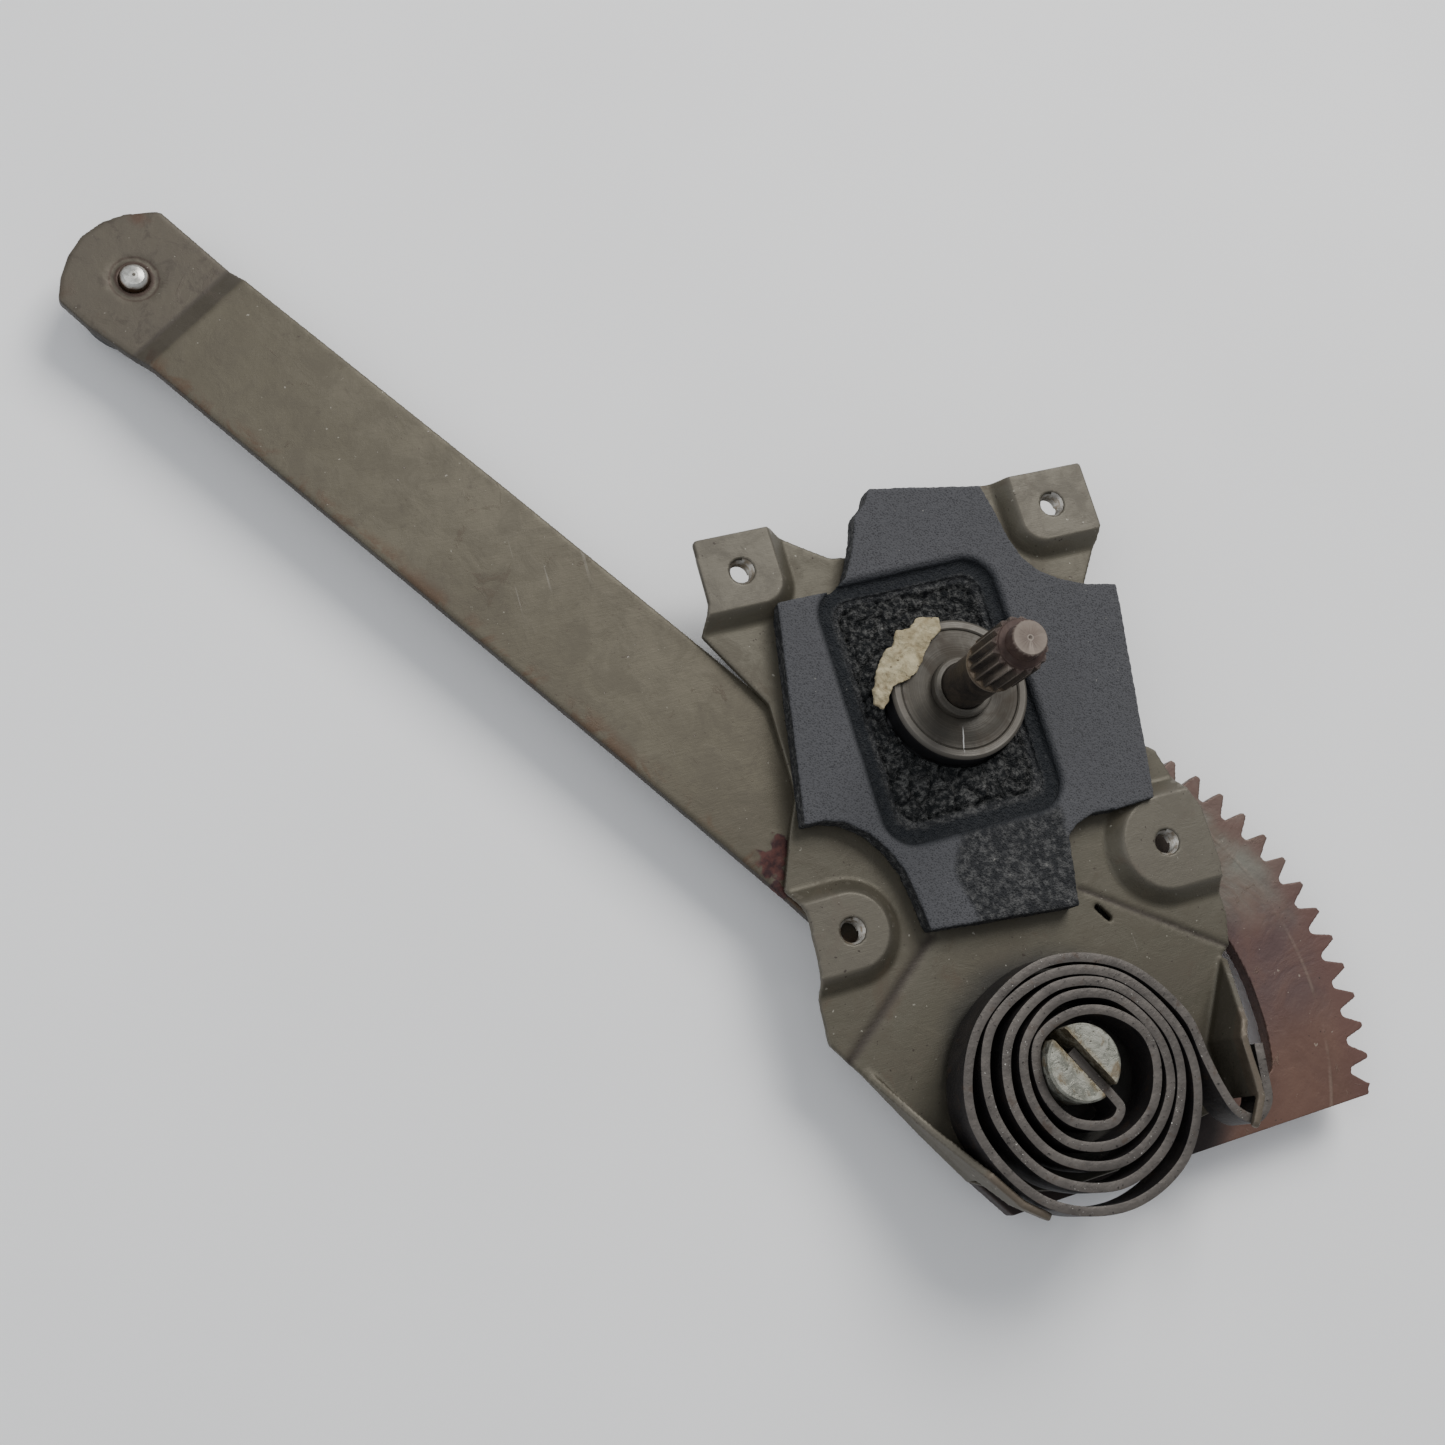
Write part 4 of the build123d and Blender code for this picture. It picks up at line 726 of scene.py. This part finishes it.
foam = cad_copy("foam_seal", "foam_pad")
apply_modifier(foam, "REMESH", mode="VOXEL", voxel_size=0.00042)
apply_modifier(foam, "SMOOTH", factor=0.5, iterations=3)
torn_mark = foam.data.attributes.new("torn", "FLOAT", "POINT")
press_mark = foam.data.attributes.new("pressed", "FLOAT", "POINT")
skin_mark = foam.data.attributes.new("open_skin", "FLOAT", "POINT")
facing = [vertex.normal.copy() for vertex in foam.data.vertices]
for index, vertex in enumerate(foam.data.vertices):
    place = vertex.co.copy()
    spot = place.xy - GROOVE_MIDDLE
    upper = eased(place.z, -0.0032, -0.0020)
    torn = eased(-box_reach(spot, 0.0182, 0.0268, 0.005), 0.0, 0.0012)
    ring = abs(box_reach(spot, 0.0212, 0.0298, 0.0065))
    pressed = (1.0 - eased(ring, 0.0012, 0.0030)) * upper * (1.0 - torn)
    patch = eased(-0.0275 - place.y + noise.noise(place * 90.0) * 0.004, 0.0, 0.003)
    patch *= eased(0.0150 - abs(place.x - 0.0015) + noise.noise(place * 120.0) * 0.003, 0.0, 0.002)
    side = 1.0 - eased(place.z, 0.0006, 0.0016) * eased(facing[index].z, 0.2, 0.6)
    torn_mark.data[index].value = torn
    press_mark.data[index].value = pressed
    skin_mark.data[index].value = min(max(patch, side), 1.0) * (1.0 - torn)
    lumps = noise.fractal(place * 240.0, 0.7, 2.2, 4) * 0.0008 if torn > 0 else 0.0
    crumbs = place * 150.0 + noise.noise_vector(place * 260.0) * 0.35
    near = noise.voronoi(crumbs)[0] if torn > 0 else (0.0, 9.0)
    crack = math.exp(-((near[1] - near[0]) / 0.10) ** 2)
    rim_off = box_reach(spot, 0.0172, 0.0258, 0.005) + noise.noise(place * 200.0) * 0.0014
    rim_crack = math.exp(-(rim_off / 0.0005) ** 2)
    ragged = lumps - crack * 0.0011 - rim_crack * 0.0014 + 0.0004
    skin = noise.noise(place * 900.0) * 0.00008 + noise.noise(place * 260.0) * 0.00010
    open_cells = noise.noise(place * 1100.0) * 0.00016
    vertex.co.z += torn * upper * ragged - pressed * 0.0006
    vertex.co += facing[index] * (skin + open_cells * skin_mark.data[index].value)
picked(foam)
bpy.ops.object.shade_smooth()
dressed(foam, foam_grain())
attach(foam, "base")
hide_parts("foam_seal")

# ---- scrap of sealing mastic --------------------------------------------------------------
# Dried, cream coloured mastic that came away with the trim, still stuck over the drum's rim.
# Cast as a thin slab along the rim, then crumbled.
# the scrap's outline as reach in mm and bearing in degrees, from the spindle
SCRAP_EDGE = [(19.6, 181), (16.9, 166), (13.2, 158), (10.9, 148), (11.4, 128), (12.9, 110), (14.6, 92),
              (17.4, 90), (18.6, 104), (18.3, 116), (19.6, 122), (19.0, 136), (20.4, 150), (20.6, 166),
              (21.4, 176)]
SCRAP_LOW = 0.0052


def dry_mastic():
    material, place = start_finish("dry_mastic")
    cloud = place.grain(300.0, 6.0, 0.65, 0.8)
    stain = place.grain(170.0, 5.0, 0.6, 1.0).ramp(0.56, 0.68)
    tone = cloud.ramp(0.3, 0.7).mixed((0.27, 0.22, 0.13, 1), (0.50, 0.44, 0.29, 1))
    tone = (stain * 0.6).mixed(tone, (0.13, 0.085, 0.045, 1))
    tone = place.grain(900.0, 3.0).ramp(0.64, 0.72).mixed(tone, (0.08, 0.05, 0.03, 1))
    lay_finish(material, tone, 0.9, 0.0, cloud * 1.5 + place.grain(1100.0, 4.0), 0.0004, 0.2)
    return material


bpy.ops.object.select_all(action="DESELECT")
bpy.ops.mesh.primitive_circle_add(vertices=len(SCRAP_EDGE), radius=0.01, fill_type="NGON")
scrap = bpy.context.object
scrap.name = "mastic_scrap"
for vertex, (reach, turn) in zip(scrap.data.vertices, SCRAP_EDGE):
    angle = math.radians(turn)
    out = reach * 0.001
    vertex.co = (SPINDLE_X + out * math.cos(angle), SPINDLE_Y + out * math.sin(angle), SCRAP_LOW)
bpy.ops.object.mode_set(mode="EDIT")
bpy.ops.mesh.select_all(action="SELECT")
bpy.ops.mesh.extrude_region_move(TRANSFORM_OT_translate={"value": (0, 0, 0.0009)})
bpy.ops.mesh.select_all(action="SELECT")
bpy.ops.mesh.normals_make_consistent(inside=False)
bpy.ops.object.mode_set(mode="OBJECT")
apply_modifier(scrap, "REMESH", mode="VOXEL", voxel_size=0.00022)
for vertex in scrap.data.vertices:
    flat = vertex.co.xy - Vector((SPINDLE_X, SPINDLE_Y))
    hang = max(flat.length - 0.0170, 0.0)
    torn = noise.noise(vertex.co * 300.0) * 0.0009 + noise.noise(vertex.co * 800.0) * 0.0004
    vertex.co.xy += flat.normalized() * torn
    vertex.co.z -= hang * 0.45
    if vertex.co.z > SCRAP_LOW + 0.0004 - hang * 0.45:
        vertex.co.z += noise.noise(vertex.co * 420.0) * 0.0005 + noise.noise(vertex.co * 1200.0) * 0.0002
picked(scrap)
bpy.ops.object.shade_smooth()
dressed(scrap, dry_mastic())
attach(scrap, "base")

# ---- rear bracket, bushes, clutch spring and roller -----------------------------------------
# Behind the plate: a bridge of the same sheet with an oiled bronze bush for the pinion's
# journal. The roller is black nylon on a steel sleeve.


def oiled_bronze():
    material, place = start_finish("oiled_bronze")
    film = place.grain(260.0, 5.0, 0.6).ramp(0.35, 0.7)
    tone = film.mixed((0.24, 0.14, 0.06, 1), (0.10, 0.06, 0.03, 1))
    lay_finish(material, tone, 0.42 + film * 0.2, 0.8, place.pits(1800.0) + film * 0.3, 0.00005)
    return material


def black_nylon():
    material, place = start_finish("black_nylon")
    scuff = place.moved(scale=(1, 1, 6)).grain(230.0, 5.0, 0.6, 0.5).ramp(0.5, 0.7)
    tone = scuff.mixed((0.022, 0.022, 0.023, 1), (0.075, 0.072, 0.066, 1))
    lay_finish(material, tone, 0.48 + scuff * 0.2, 0.0, place.grain(900.0, 4.0) + scuff * 0.4, 0.00006)
    return material


bracket = cad_copy("pinion_bracket", "rear_bracket")
rounded(bracket, 0.0004, 2, 0.6)
dressed(bracket, steel)
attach(bracket, "base")
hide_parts("pinion_bracket")
dressed(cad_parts["bracket_bush"], oiled_bronze())
dressed(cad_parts["roller"], black_nylon())
dressed(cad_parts["clutch_spring"], spring.data.materials[0])

# ---- table and light ----------------------------------------------------------------------
# A pale matt sheet under the regulator and one broad lamp above and to the right of it.
TABLE_Z = cad_box[0][2] - 0.0002


def table_sheet():
    material, place = start_finish("table_sheet")
    cloud = place.grain(6.0, 3.0, 0.5)
    tone = cloud.ramp(0.3, 0.7).mixed((0.90, 0.895, 0.89, 1), (0.95, 0.945, 0.94, 1))
    lay_finish(material, tone, 0.62, 0.0, place.grain(500.0, 3.0), 0.00003)
    return material


bpy.ops.object.select_all(action="DESELECT")
bpy.ops.mesh.primitive_plane_add(size=3.0, location=(0, 0, TABLE_Z))
table = bpy.context.object
table.name = "table_top"
dressed(table, table_sheet())


def lamp(name, place, aim, size, power, colour=(1, 1, 1)):
    light = bpy.data.lights.new(name, "AREA")
    light.size = size
    light.energy = power
    light.color = colour
    shown = bpy.data.objects.new(name, light)
    shown.location = place
    shown.rotation_euler = (Vector(aim) - Vector(place)).to_track_quat("-Z", "Y").to_euler()
    bpy.context.collection.objects.link(shown)


lamp("window_light", (0.75, 0.85, 1.25), (0, 0, 0), 0.9, 25.0, (1.0, 0.99, 0.97))
lamp("fill_light", (-0.9, 0.2, 1.1), (0, 0, 0), 1.2, 6.8, (0.93, 0.96, 1.0))
world = bpy.data.worlds.new("room")
world.use_nodes = True
world.node_tree.nodes["Background"].inputs["Color"].default_value = (0.80, 0.83, 0.88, 1)
world.node_tree.nodes["Background"].inputs["Strength"].default_value = 0.47
bpy.context.scene.world = world

# ---- camera -------------------------------------------------------------------------------
# Held over the spring end, looking down on the plate and a little along the arm.
view = bpy.data.cameras.new("over_the_spring")
view.lens = 47.51
view.sensor_width = 36.0
held = bpy.data.objects.new("over_the_spring", view)
held.location = (-0.18342, -0.06492, 0.39917)
held.rotation_euler = (math.radians(14.795), math.radians(-14.119), math.radians(-17.046))
bpy.context.collection.objects.link(held)
bpy.context.scene.camera = held
